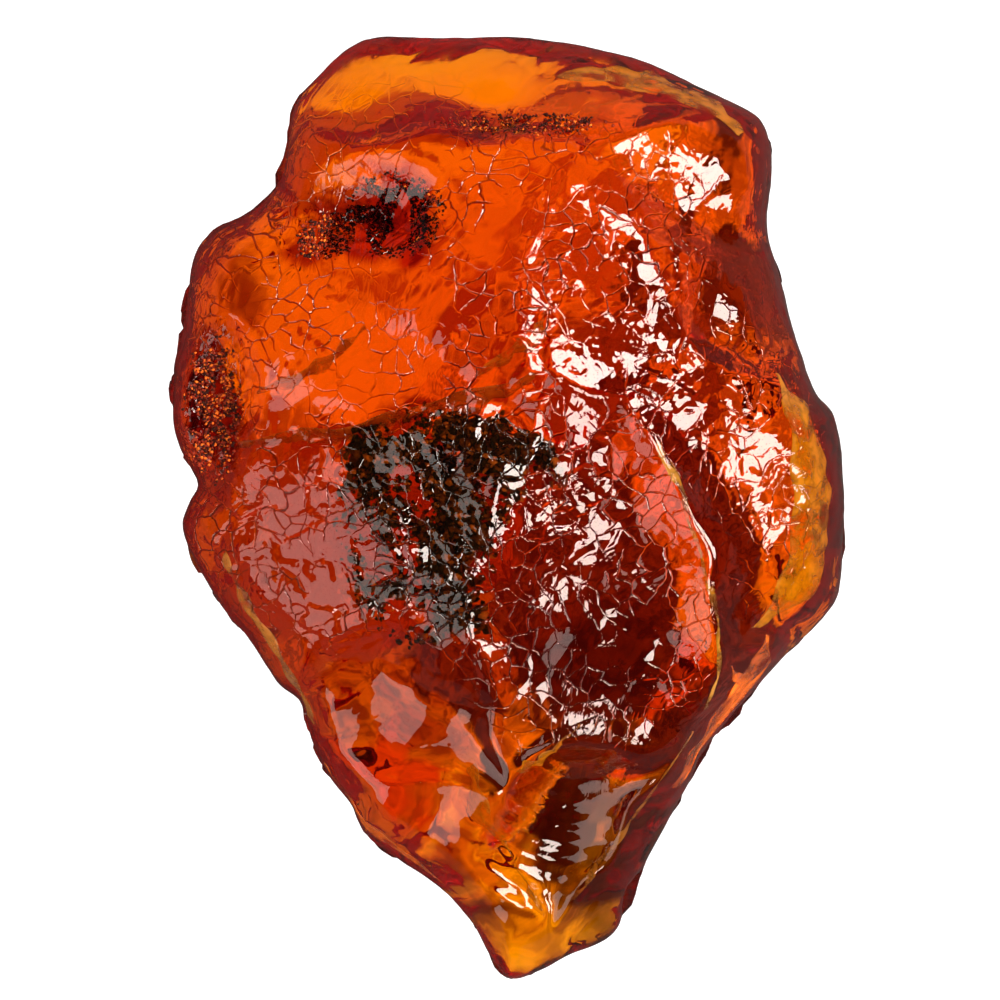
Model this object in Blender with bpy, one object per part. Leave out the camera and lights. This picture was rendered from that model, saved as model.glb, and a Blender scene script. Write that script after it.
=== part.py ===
"""A tumbled nugget of raw amber, lying on the small flat spot under its heavy middle.

The stone is one piece. Seen from above it is a long shield with a blunt head (+Y) and a
pointed tail (-Y). Its upper side is a net of worn fracture faces that meet in ridges:
each face hangs between its corner points, and its middle is domed or hollow. The under
side is made of flatter faces that rise from the resting flat.

All design sizes are in millimetres, +Z is up, and the origin is the middle of the
stone's footprint on the surface it lies on.
"""

import bmesh
import bpy
import numpy as np
from mathutils import Vector

MM = 0.001

# Driving dimensions
LENGTH = 60.0
WIDTH = 42.8
THICKNESS = 25.0

# The outline seen from above, anticlockwise from the head's left corner
OUTLINE = [
    (-9.9, 29.4), (-11.8, 27.8), (-13.7, 25.6), (-14.2, 22.8), (-14.8, 20.6),
    (-16.7, 18.6), (-19.0, 17.4), (-20.2, 15.4), (-20.7, 11.3), (-21.3, 8.6),
    (-21.4, 5.8), (-21.0, 4.0), (-20.2, 2.4), (-19.8, 1.4), (-20.2, 0.5),
    (-20.7, -1.0), (-20.1, -3.0), (-18.5, -5.8), (-16.4, -8.4), (-14.8, -10.9),
    (-13.2, -12.3), (-12.6, -14.7), (-11.6, -16.9), (-10.3, -18.6), (-9.1, -20.7),
    (-6.9, -22.3), (-4.4, -24.2), (-2.4, -26.4), (-0.9, -29.0), (0.1, -30.0),
    (1.7, -29.6), (3.9, -28.4), (6.5, -27.3), (7.6, -25.6), (8.4, -23.2),
    (9.8, -20.7), (11.7, -17.1), (12.6, -15.3), (16.0, -11.2), (18.5, -8.6),
    (20.8, -6.2), (21.3, -4.2), (21.4, -0.6), (21.3, 3.0), (20.8, 5.7),
    (19.5, 7.4), (18.7, 9.9), (17.8, 12.7), (17.2, 15.0), (16.5, 17.6),
    (16.7, 20.6), (16.7, 22.8), (15.8, 24.9), (12.2, 26.7), (7.7, 28.7),
    (1.4, 29.8), (-4.3, 29.9), (-8.4, 29.9),
]

# Corners of the upper faces: x, y and height. Those named rim stand past the outline.
CORNERS = {
    "rim_head_left": (-11.3, 31.0, 10.0),
    "rim_head_mid": (0.8, 31.5, 10.5),
    "rim_head_right": (10.0, 30.4, 11.0),
    "rim_corner": (17.9, 26.3, 16.1),
    "rim_right_1": (18.5, 19.6, 17.6),
    "rim_right_2": (18.9, 13.9, 16.4),
    "rim_right_3": (21.7, 7.5, 17.6),
    "rim_right_4": (23.3, 2.4, 15.8),
    "rim_right_5": (22.9, -5.2, 12.6),
    "rim_flank_1": (19.5, -11.5, 11.4),
    "rim_flank_2": (14.1, -17.9, 12.0),
    "rim_tail_1": (10.4, -23.6, 10.4),
    "rim_tail_2": (8.4, -29.3, 10.0),
    "rim_tip": (0.0, -31.5, 9.4),
    "rim_tail_3": (-4.6, -26.4, 10.9),
    "rim_left_1": (-11.0, -22.0, 13.0),
    "rim_left_2": (-15.1, -14.4, 17.0),
    "rim_left_3": (-19.2, -8.3, 17.2),
    "rim_left_4": (-22.7, -1.4, 17.8),
    "rim_notch": (-21.5, 1.4, 17.0),
    "rim_side_1": (-23.4, 6.9, 17.2),
    "rim_side_2": (-22.7, 13.9, 17.0),
    "rim_side_3": (-20.2, 19.0, 16.0),
    "rim_step": (-16.4, 21.8, 15.0),
    "rim_head_1": (-16.1, 25.3, 12.6),
    "rim_head_2": (-13.8, 29.1, 10.2),
    "head_step": (-13.7, 22.4, 17.0),
    "head_crease": (-7.6, 26.8, 14.6),
    "head_foot": (-5.0, 25.2, 16.0),
    "head_dark": (2.5, 25.6, 16.4),
    "ledge_left": (-8.8, 22.6, 20.0),
    "ledge_mid": (-3.4, 22.1, 21.4),
    "ledge_right": (6.0, 22.6, 21.0),
    "corner_top": (13.0, 24.2, 18.6),
    "corner_low": (14.9, 19.3, 19.0),
    "crest_head": (3.4, 20.5, 22.4),
    "crest_mid": (0.6, 13.9, 24.2),
    "crest_top": (1.5, 7.8, 24.9),
    "slab_low": (9.3, 14.0, 23.0),
    "slab_foot": (5.8, 12.3, 23.4),
    "ridge_1": (6.6, 7.0, 24.4),
    "ridge_2": (9.3, 3.9, 23.9),
    "ridge_3": (11.0, -0.1, 23.1),
    "ridge_4": (12.3, -3.9, 22.0),
    "ridge_5": (13.1, -8.3, 20.4),
    "ridge_6": (12.7, -11.7, 18.9),
    "ridge_7": (10.9, -14.7, 17.4),
    "ridge_8": (8.4, -18.0, 15.6),
    "ridge_9": (6.3, -21.7, 13.4),
    "ridge_10": (2.5, -26.3, 11.3),
    "lip_2": (11.0, 4.6, 22.5),
    "lip_3": (12.7, 0.2, 21.4),
    "lip_4": (14.0, -3.9, 20.4),
    "lip_5": (14.5, -8.3, 18.8),
    "lip_6": (13.6, -12.2, 16.6),
    "right_top": (12.2, 8.7, 22.3),
    "right_1": (17.9, 7.2, 20.2),
    "right_2": (18.9, 0.5, 19.8),
    "right_3": (19.3, -4.5, 18.2),
    "right_4": (16.6, -9.0, 17.8),
    "scoop_1": (-0.6, -16.7, 16.2),
    "scoop_2": (3.3, -14.4, 17.9),
    "scoop_3": (-0.5, -21.0, 13.4),
    "glass_1": (-13.1, -9.3, 18.4),
    "glass_2": (-8.6, -6.6, 20.6),
    "glass_3": (-2.7, -8.3, 20.9),
    "glass_4": (-0.5, -12.2, 18.9),
    "glass_5": (-4.3, -17.1, 16.0),
    "glass_6": (-8.6, -16.7, 16.2),
    "glass_7": (-12.4, -15.0, 15.6),
    "left_1": (-19.2, 0.5, 17.8),
    "left_2": (-16.7, 3.6, 19.8),
    "left_3": (-11.3, 5.0, 21.7),
    "left_4": (-3.7, 6.8, 23.6),
    "left_5": (-17.5, -6.4, 17.6),
    "middle_1": (-0.2, 1.8, 24.0),
    "middle_2": (-1.5, -3.3, 22.7),
    "shoulder_1": (-15.6, 6.9, 20.0),
    "shoulder_2": (-16.0, 9.9, 19.8),
    "shoulder_3": (-14.2, 15.7, 19.8),
    "shoulder_4": (-13.2, 20.2, 19.0),
}

# Upper faces: how far the middle stands out (below zero is a scar), then the corners
UPPER_FACES = {
    "head_left": (0.4, "rim_head_left rim_head_2 rim_head_1 head_step head_crease"),
    "head_band": (0.3, "rim_head_left head_crease head_foot head_dark rim_head_mid"),
    "head_wedge": (-0.5, "head_crease head_step ledge_left ledge_mid head_foot"),
    "head_ledge": (-0.4, "head_foot ledge_mid ledge_right head_dark"),
    "head_right": (
        0.3,
        "rim_head_mid head_dark ledge_right corner_top rim_corner rim_head_right",
    ),
    "corner": (0.6, "rim_corner corner_top corner_low rim_right_1"),
    "forehead": (
        0.5,
        "ledge_mid ledge_left head_step shoulder_4 shoulder_3 shoulder_2 shoulder_1 "
        "left_2 left_3 left_4 crest_top crest_mid crest_head ledge_right",
    ),
    "slab": (0.3, "ledge_right crest_head crest_mid slab_foot slab_low"),
    "dark_side": (
        -0.9,
        "corner_top ledge_right slab_low right_top right_1 rim_right_3 rim_right_2 "
        "rim_right_1 corner_low",
    ),
    "crazed": (-0.5, "slab_foot crest_mid crest_top ridge_1 right_top slab_low"),
    "middle": (
        -0.6,
        "crest_top left_4 middle_1 middle_2 glass_3 glass_4 scoop_1 scoop_2 ridge_7 "
        "ridge_6 ridge_5 ridge_4 ridge_3 ridge_2 ridge_1",
    ),
    "lip": (
        0.0,
        "ridge_1 ridge_2 ridge_3 ridge_4 ridge_5 ridge_6 lip_6 lip_5 lip_4 lip_3 "
        "lip_2 right_top",
    ),
    "right": (
        -0.5,
        "right_top lip_2 lip_3 lip_4 lip_5 right_4 right_3 right_2 right_1",
    ),
    "right_rim": (
        0.5,
        "right_1 right_2 right_3 rim_right_5 rim_right_4 rim_right_3",
    ),
    "flank": (
        -0.7,
        "right_3 right_4 lip_5 lip_6 rim_flank_2 rim_flank_1 rim_right_5",
    ),
    "tail_facet": (
        -0.6,
        "lip_6 ridge_6 ridge_7 ridge_8 ridge_9 ridge_10 rim_tail_2 rim_tail_1 "
        "rim_flank_2",
    ),
    "tail_scoop": (
        -2.6,
        "scoop_2 scoop_1 scoop_3 ridge_10 ridge_9 ridge_8 ridge_7",
    ),
    "tail_left": (
        0.9,
        "glass_7 rim_left_1 rim_tail_3 rim_tip rim_tail_2 ridge_10 scoop_3 scoop_1 "
        "glass_5 glass_6",
    ),
    "glassy_scar": (
        -1.9,
        "glass_1 glass_7 glass_6 glass_5 scoop_1 glass_4 glass_3 glass_2",
    ),
    "left": (
        0.9,
        "left_4 left_3 left_2 left_1 left_5 glass_1 glass_2 glass_3 middle_2 middle_1",
    ),
    "worn_flank": (
        0.4,
        "left_1 rim_notch rim_left_4 rim_left_3 rim_left_2 rim_left_1 glass_7 glass_1 "
        "left_5",
    ),
    "shoulder": (
        0.8,
        "head_step rim_head_1 rim_step rim_side_3 rim_side_2 rim_side_1 rim_notch "
        "left_1 left_2 shoulder_1 shoulder_2 shoulder_3 shoulder_4",
    ),
}

# Under faces: a point, the slope along x and y, the bend along x and y.
# The stone is what lies above all of them.
UNDER_FACES = {
    "resting_flat": ((0.0, 0.0, -0.35), (0.0, 0.0), (0.0, 0.0)),
    "head_under": ((0.0, 9.5, 0.0), (0.02, 0.11), (0.0, 0.006)),
    "left_under": ((-8.5, 0.0, 0.0), (-0.16, 0.03), (0.007, 0.0)),
    "right_under": ((9.0, 0.0, 0.0), (0.20, -0.04), (0.006, 0.0)),
    "tail_under": ((0.0, -8.5, 0.0), (0.04, -0.12), (0.0, 0.005)),
    "tail_left_under": ((-6.5, -9.5, 0.3), (-0.22, -0.20), (0.0, 0.0)),
    "head_right_under": ((8.5, 11.0, 0.5), (0.20, 0.18), (0.0, 0.0)),
    "head_left_under": ((-9.0, 13.0, 0.6), (-0.16, 0.18), (0.0, 0.0)),
}

# Bowls worn or broken into the stone: centre, half axes and depth
UPPER_PITS = {
    "eye_pit": ((-8.4, 18.2), (4.4, 3.1), 1.9),
    "side_pit": ((-18.0, 6.6), (2.5, 4.8), 2.6),
}
UNDER_PITS = {
    "shell_scar": ((-5.5, 18.5), (6.5, 5.0), 1.1),
    "edge_chip": ((13.5, 3.0), (4.0, 6.0), 0.8),
    "tail_chip": ((3.0, -21.0), (4.0, 4.5), 0.7),
}

# Waves: height, waves per millimetre along x and y, start
SWELLS = [
    (0.10, (0.62, 0.28), 0.4),
    (0.08, (-0.35, 0.71), 1.9),
    (0.06, (0.95, -0.66), 3.1),
]
EDGE_WANDER = [
    (0.35, (0.45, 0.80), 0.3),
    (0.22, (-1.05, 0.55), 1.2),
]

UPPER_FULLNESS = 13.0
UNDER_FULLNESS = 9.0
UNDER_EDGE_ROUNDING = 0.35
RIDGE_SMOOTHINGS = 2

# The map on which the upper faces are worked out, off the round numbers of the corners
MAP_HALF = 34.037
MAP_CELLS = 340

# Cells along each edge of the cube that is blown up, and the share drawn to the top
CELLS = 28
TOP_SHARE = 0.22
CURVE_STEPS = 10

AMBER_COLOUR = (0.80, 0.20, 0.02, 1.0)
AMBER_IOR = 1.54
AMBER_ROUGHNESS = 0.08


def clear_scene():
    for obj in list(bpy.data.objects):
        bpy.data.objects.remove(obj)


def outline_curve():
    """The outline as a closed smooth curve through its points (Catmull-Rom spans)."""
    points = np.array(OUTLINE)
    before = np.roll(points, 1, axis=0)[:, None]
    after = np.roll(points, -1, axis=0)[:, None]
    beyond = np.roll(points, -2, axis=0)[:, None]
    start = points[:, None]
    t = np.linspace(0.0, 1.0, CURVE_STEPS, endpoint=False)[None, :, None]
    curve = 0.5 * (
        2 * start
        + (after - before) * t
        + (2 * before - 5 * start + 4 * after - beyond) * t**2
        + (3 * start - before - 3 * after + beyond) * t**3
    )
    return curve.reshape(-1, 2)


def reach(angle):
    """How far the outline is from the middle, at each angle round the stone."""
    curve = outline_curve()
    angles = np.arctan2(curve[:, 1], curve[:, 0])
    return np.interp(angle, angles, np.hypot(*curve.T), period=2 * np.pi)


def rim_height(angle):
    """Height of the widest line: low at the head and tail, high on the left."""
    return 7.8 + 1.2 * np.cos(angle - 2.9) + 1.4 * np.cos(2 * angle)


def wave(waves, x, y):
    return sum(size * np.sin(wx * x + wy * y + start) for size, (wx, wy), start in waves)


def face_patch(corners, x, y):
    """The height of one face where it covers the map, and which map points it covers.

    Mean value weights spread the corner heights smoothly over the face. One over their
    sum grows with the distance from the face's edges, and carries the dome or hollow.
    """
    to_corner = corners[:, :2, None] - np.stack([x, y])[None]
    away = np.hypot(to_corner[:, 0], to_corner[:, 1])
    to_next = np.roll(to_corner, -1, axis=0)
    cross = to_corner[:, 0] * to_next[:, 1] - to_corner[:, 1] * to_next[:, 0]
    dot = (to_corner * to_next).sum(axis=1)
    half_turn = cross / (away * np.roll(away, -1, axis=0) + dot)
    weight = (half_turn + np.roll(half_turn, 1, axis=0)) / away
    covered = np.arctan2(cross, dot).sum(axis=0) > np.pi
    height = (weight * corners[:, 2:]).sum(axis=0) / weight.sum(axis=0)
    return height, 1.0 / weight.sum(axis=0), covered


def upper_map():
    """Heights of all upper faces on a square map, with the ridges between them worn."""
    line = np.linspace(-MAP_HALF, MAP_HALF, MAP_CELLS + 1)
    y, x = np.meshgrid(line, line, indexing="ij")
    heights = np.full(x.shape, 10.0)
    for rise, names in UPPER_FACES.values():
        corners = np.array([CORNERS[name] for name in names.split()])
        ahead = np.roll(corners, -1, axis=0)
        turn = (corners[:, 0] * ahead[:, 1] - corners[:, 1] * ahead[:, 0]).sum()
        if turn < 0.0:
            corners = corners[::-1]
        height, inward, covered = face_patch(corners, x.ravel(), y.ravel())
        height = height + rise * inward / inward[covered].max()
        heights.ravel()[covered] = height[covered]
    for _ in range(RIDGE_SMOOTHINGS):
        for axis in (0, 1):
            near = np.roll(heights, 1, axis) + np.roll(heights, -1, axis)
            heights = 0.5 * heights + 0.25 * near
    return heights


def read_map(heights, x, y):
    """Heights between the points of the map, by straight lines along x and y."""
    across = (x + MAP_HALF) / (2 * MAP_HALF) * MAP_CELLS
    along = (y + MAP_HALF) / (2 * MAP_HALF) * MAP_CELLS
    i = np.clip(across.astype(int), 0, MAP_CELLS - 1)
    j = np.clip(along.astype(int), 0, MAP_CELLS - 1)
    u = across - i
    v = along - j
    near = heights[j, i] * (1 - u) + heights[j, i + 1] * u
    far = heights[j + 1, i] * (1 - u) + heights[j + 1, i + 1] * u
    return near * (1 - v) + far * v


def pit_depth(pits, x, y):
    """Bowl-shaped pits with a soft lip and a flat-bottomed middle."""
    depth = np.zeros_like(x)
    for (x0, y0), (half_x, half_y), deep in pits.values():
        away = np.hypot((x - x0) / half_x, (y - y0) / half_y)
        bowl = np.clip(1.25 - away, 0.0, 1.0)
        depth += deep * bowl**2 * (3 - 2 * bowl)
    return depth


def upper_height(heights, x, y):
    wander_x = wave(EDGE_WANDER, x, y)
    wander_y = wave(EDGE_WANDER, -y, x)
    faces = read_map(heights, x + wander_x, y + wander_y)
    return faces + wave(SWELLS, x, y) - pit_depth(UPPER_PITS, x, y)


def under_height(x, y):
    """The highest of the under faces, with the edges between them rounded off."""
    heights = []
    for (x0, y0, z0), (slope_x, slope_y), (bend_x, bend_y) in UNDER_FACES.values():
        dx = x - x0
        dy = y - y0
        bend = 0.5 * (bend_x * dx**2 + bend_y * dy**2)
        heights.append(z0 + slope_x * dx + slope_y * dy + bend)
    top = np.max(heights, axis=0)
    spread = np.exp((np.array(heights) - top) / UNDER_EDGE_ROUNDING).sum(axis=0)
    return top + UNDER_EDGE_ROUNDING * np.log(spread) + pit_depth(UNDER_PITS, x, y)


def stone_surface(directions):
    """Moves points on a unit ball out to the stone's surface, in millimetres.

    The ball's plan radius is stretched to the outline. Above the rim a point rises to
    the upper faces, and below it sinks to the under faces, by a rounded-edge curve.
    """
    angle = np.arctan2(directions[:, 1], directions[:, 0])
    spread = np.hypot(directions[:, 0], directions[:, 1]).clip(0.0, 1.0)
    x = reach(angle) * spread * np.cos(angle)
    y = reach(angle) * spread * np.sin(angle)
    rim = rim_height(angle)
    upper_rise = np.sqrt(1.0 - spread**UPPER_FULLNESS)
    under_rise = np.sqrt(1.0 - spread**UNDER_FULLNESS)
    upper = rim + (upper_height(upper_map(), x, y) - rim) * upper_rise
    under = rim + (under_height(x, y) - rim) * under_rise
    return np.column_stack([x, y, np.where(directions[:, 2] >= 0.0, upper, under)])


def blown_up_cube():
    """A cube with a grid on each side, its points pushed out onto a unit ball.

    The points are then drawn towards the top, which has the finer faces.
    """
    bm = bmesh.new()
    bmesh.ops.create_cube(bm, size=2.0)
    bmesh.ops.subdivide_edges(bm, edges=bm.edges[:], cuts=CELLS - 1, use_grid_fill=True)
    for vert in bm.verts:
        ball = Vector(np.tan(np.array(vert.co) * np.pi / 4)).normalized()
        height = (ball.z + TOP_SHARE) / (1 + TOP_SHARE * ball.z)
        width = max(ball.xy.length, 1e-9)
        flat = ball.xy * (max(1 - height**2, 0.0) ** 0.5 / width)
        vert.co = (flat.x, flat.y, height)
    return bm


def fit_to_size(points):
    """Scales the stone to its driving dimensions and sets it down on the resting flat."""
    low = points.min(axis=0)
    high = points.max(axis=0)
    scale = np.array([WIDTH, LENGTH, THICKNESS]) / [*(high - low)[:2], high[2]]
    middle = np.array([*(low + high)[:2] / 2, 0.0])
    return (points - middle) * scale


def cut_resting_flat(bm):
    """Grinds the lowest part off level, which leaves one flat face to rest on."""
    cut = bmesh.ops.bisect_plane(
        bm,
        geom=bm.verts[:] + bm.edges[:] + bm.faces[:],
        dist=1e-6,
        plane_co=Vector((0.0, 0.0, 0.0)),
        plane_no=Vector((0.0, 0.0, 1.0)),
        clear_inner=True,
    )
    loop = [item for item in cut["geom_cut"] if isinstance(item, bmesh.types.BMEdge)]
    bmesh.ops.contextual_create(bm, geom=loop)


def amber_material():
    material = bpy.data.materials.new("amber")
    material.use_nodes = True
    shader = material.node_tree.nodes["Principled BSDF"]
    shader.inputs["Base Color"].default_value = AMBER_COLOUR
    shader.inputs["Roughness"].default_value = AMBER_ROUGHNESS
    shader.inputs["IOR"].default_value = AMBER_IOR
    shader.inputs["Transmission Weight"].default_value = 0.6
    shader.inputs["Metallic"].default_value = 0.0
    return material


def build_amber():
    bm = blown_up_cube()
    directions = np.array([vert.co for vert in bm.verts])
    points = fit_to_size(stone_surface(directions)) * MM
    for vert, point in zip(bm.verts, points):
        vert.co = point
    cut_resting_flat(bm)
    bmesh.ops.triangulate(bm, faces=bm.faces[:], quad_method="SHORT_EDGE")
    bmesh.ops.recalc_face_normals(bm, faces=bm.faces[:])
    mesh = bpy.data.meshes.new("amber")
    bm.to_mesh(mesh)
    bm.free()
    mesh.materials.append(amber_material())
    mesh.shade_smooth()
    stone = bpy.data.objects.new("amber", mesh)
    bpy.context.scene.collection.objects.link(stone)
    return stone


clear_scene()
build_amber()
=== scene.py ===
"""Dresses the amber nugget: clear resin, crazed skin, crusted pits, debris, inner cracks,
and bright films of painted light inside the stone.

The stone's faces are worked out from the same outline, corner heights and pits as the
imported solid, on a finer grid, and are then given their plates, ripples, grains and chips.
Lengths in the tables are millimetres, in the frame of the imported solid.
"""

import functools
import math

import bpy
import numpy as np
from bpy.props import FloatProperty, FloatVectorProperty, IntProperty, PointerProperty
from bpy.types import Operator, Panel, PropertyGroup
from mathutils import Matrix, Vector


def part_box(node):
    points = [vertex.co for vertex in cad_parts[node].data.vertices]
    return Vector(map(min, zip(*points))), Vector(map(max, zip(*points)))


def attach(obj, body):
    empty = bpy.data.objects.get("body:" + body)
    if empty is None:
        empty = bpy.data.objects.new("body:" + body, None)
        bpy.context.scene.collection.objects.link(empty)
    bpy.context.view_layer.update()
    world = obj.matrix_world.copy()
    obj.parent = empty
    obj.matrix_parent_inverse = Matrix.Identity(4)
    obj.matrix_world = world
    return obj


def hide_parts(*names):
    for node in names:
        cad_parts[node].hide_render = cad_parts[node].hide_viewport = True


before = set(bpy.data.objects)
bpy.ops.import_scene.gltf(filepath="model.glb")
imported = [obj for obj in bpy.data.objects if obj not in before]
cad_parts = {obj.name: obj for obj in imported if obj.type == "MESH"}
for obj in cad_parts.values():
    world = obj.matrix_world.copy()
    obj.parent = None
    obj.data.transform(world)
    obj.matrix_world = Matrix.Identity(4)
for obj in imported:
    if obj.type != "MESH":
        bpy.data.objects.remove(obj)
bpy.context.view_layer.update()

bl_info = {
    "name": "Amber Nugget",
    "version": (1, 0, 0),
    "blender": (4, 5, 0),
    "location": "View3D > Sidebar > Amber",
    "description": "Builds a worn amber nugget with its skin, pits, debris and inner cracks",
    "category": "Add Mesh",
}

BOX_LOW, BOX_HIGH = (np.array(corner) * 1000.0 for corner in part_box("amber"))

MM = 0.001

# The outline seen from above, anticlockwise from the head's left corner
OUTLINE = [
    (-9.9, 29.4), (-11.8, 27.8), (-13.7, 25.6), (-14.2, 22.8), (-14.8, 20.6),
    (-16.7, 18.6), (-19.0, 17.4), (-20.2, 15.4), (-20.7, 11.3), (-21.3, 8.6),
    (-21.4, 5.8), (-21.0, 4.0), (-20.2, 2.4), (-19.8, 1.4), (-20.2, 0.5),
    (-20.7, -1.0), (-20.1, -3.0), (-18.5, -5.8), (-16.4, -8.4), (-14.8, -10.9),
    (-13.2, -12.3), (-12.6, -14.7), (-11.6, -16.9), (-10.3, -18.6), (-9.1, -20.7),
    (-6.9, -22.3), (-4.4, -24.2), (-2.4, -26.4), (-0.9, -29.0), (0.1, -30.0),
    (1.7, -29.6), (3.9, -28.4), (6.5, -27.3), (7.6, -25.6), (8.4, -23.2),
    (9.8, -20.7), (11.7, -17.1), (12.6, -15.3), (16.0, -11.2), (18.5, -8.6),
    (20.8, -6.2), (21.3, -4.2), (21.4, -0.6), (21.3, 3.0), (20.8, 5.7),
    (19.5, 7.4), (18.7, 9.9), (17.8, 12.7), (17.2, 15.0), (16.5, 17.6),
    (16.7, 20.6), (16.7, 22.8), (15.8, 24.9), (12.2, 26.7), (7.7, 28.7),
    (1.4, 29.8), (-4.3, 29.9), (-8.4, 29.9),
]

# Corners of the upper faces: x, y and height. Those named rim stand past the outline.
CORNERS = {
    "rim_head_left": (-11.3, 31.0, 10.0),
    "rim_head_mid": (0.8, 31.5, 10.5),
    "rim_head_right": (10.0, 30.4, 11.0),
    "rim_corner": (17.9, 26.3, 16.1),
    "rim_right_1": (18.5, 19.6, 17.6),
    "rim_right_2": (18.9, 13.9, 16.4),
    "rim_right_3": (21.7, 7.5, 17.6),
    "rim_right_4": (23.3, 2.4, 15.8),
    "rim_right_5": (22.9, -5.2, 12.6),
    "rim_flank_1": (19.5, -11.5, 11.4),
    "rim_flank_2": (14.1, -17.9, 12.0),
    "rim_tail_1": (10.4, -23.6, 10.4),
    "rim_tail_2": (8.4, -29.3, 10.0),
    "rim_tip": (0.0, -31.5, 9.4),
    "rim_tail_3": (-4.6, -26.4, 10.9),
    "rim_left_1": (-11.0, -22.0, 13.0),
    "rim_left_2": (-15.1, -14.4, 17.0),
    "rim_left_3": (-19.2, -8.3, 17.2),
    "rim_left_4": (-22.7, -1.4, 17.8),
    "rim_notch": (-21.5, 1.4, 17.0),
    "rim_side_1": (-23.4, 6.9, 17.2),
    "rim_side_2": (-22.7, 13.9, 17.0),
    "rim_side_3": (-20.2, 19.0, 16.0),
    "rim_step": (-16.4, 21.8, 15.0),
    "rim_head_1": (-16.1, 25.3, 12.6),
    "rim_head_2": (-13.8, 29.1, 10.2),
    "head_step": (-13.7, 22.4, 17.0),
    "head_crease": (-7.6, 26.8, 14.6),
    "head_foot": (-5.0, 25.2, 16.0),
    "head_dark": (2.5, 25.6, 16.4),
    "ledge_left": (-8.8, 22.6, 20.0),
    "ledge_mid": (-3.4, 22.1, 21.4),
    "ledge_right": (6.0, 22.6, 21.0),
    "corner_top": (13.0, 24.2, 18.6),
    "corner_low": (14.9, 19.3, 19.0),
    "crest_head": (3.4, 20.5, 22.4),
    "crest_mid": (0.6, 13.9, 24.2),
    "crest_top": (1.5, 7.8, 24.9),
    "slab_low": (9.3, 14.0, 23.0),
    "slab_foot": (5.8, 12.3, 23.4),
    "ridge_1": (6.6, 7.0, 24.4),
    "ridge_2": (9.3, 3.9, 23.9),
    "ridge_3": (11.0, -0.1, 23.1),
    "ridge_4": (12.3, -3.9, 22.0),
    "ridge_5": (13.1, -8.3, 20.4),
    "ridge_6": (12.7, -11.7, 18.9),
    "ridge_7": (10.9, -14.7, 17.4),
    "ridge_8": (8.4, -18.0, 15.6),
    "ridge_9": (6.3, -21.7, 13.4),
    "ridge_10": (2.5, -26.3, 11.3),
    "lip_2": (11.0, 4.6, 22.5),
    "lip_3": (12.7, 0.2, 21.4),
    "lip_4": (14.0, -3.9, 20.4),
    "lip_5": (14.5, -8.3, 18.8),
    "lip_6": (13.6, -12.2, 16.6),
    "right_top": (12.2, 8.7, 22.3),
    "right_1": (17.9, 7.2, 20.2),
    "right_2": (18.9, 0.5, 19.8),
    "right_3": (19.3, -4.5, 18.2),
    "right_4": (16.6, -9.0, 17.8),
    "scoop_1": (-0.6, -16.7, 16.2),
    "scoop_2": (3.3, -14.4, 17.9),
    "scoop_3": (-0.5, -21.0, 13.4),
    "glass_1": (-13.1, -9.3, 18.4),
    "glass_2": (-8.6, -6.6, 20.6),
    "glass_3": (-2.7, -8.3, 20.9),
    "glass_4": (-0.5, -12.2, 18.9),
    "glass_5": (-4.3, -17.1, 16.0),
    "glass_6": (-8.6, -16.7, 16.2),
    "glass_7": (-12.4, -15.0, 15.6),
    "left_1": (-19.2, 0.5, 17.8),
    "left_2": (-16.7, 3.6, 19.8),
    "left_3": (-11.3, 5.0, 21.7),
    "left_4": (-3.7, 6.8, 23.6),
    "left_5": (-17.5, -6.4, 17.6),
    "middle_1": (-0.2, 1.8, 24.0),
    "middle_2": (-1.5, -3.3, 22.7),
    "shoulder_1": (-15.6, 6.9, 20.0),
    "shoulder_2": (-16.0, 9.9, 19.8),
    "shoulder_3": (-14.2, 15.7, 19.8),
    "shoulder_4": (-13.2, 20.2, 19.0),
}

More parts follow.
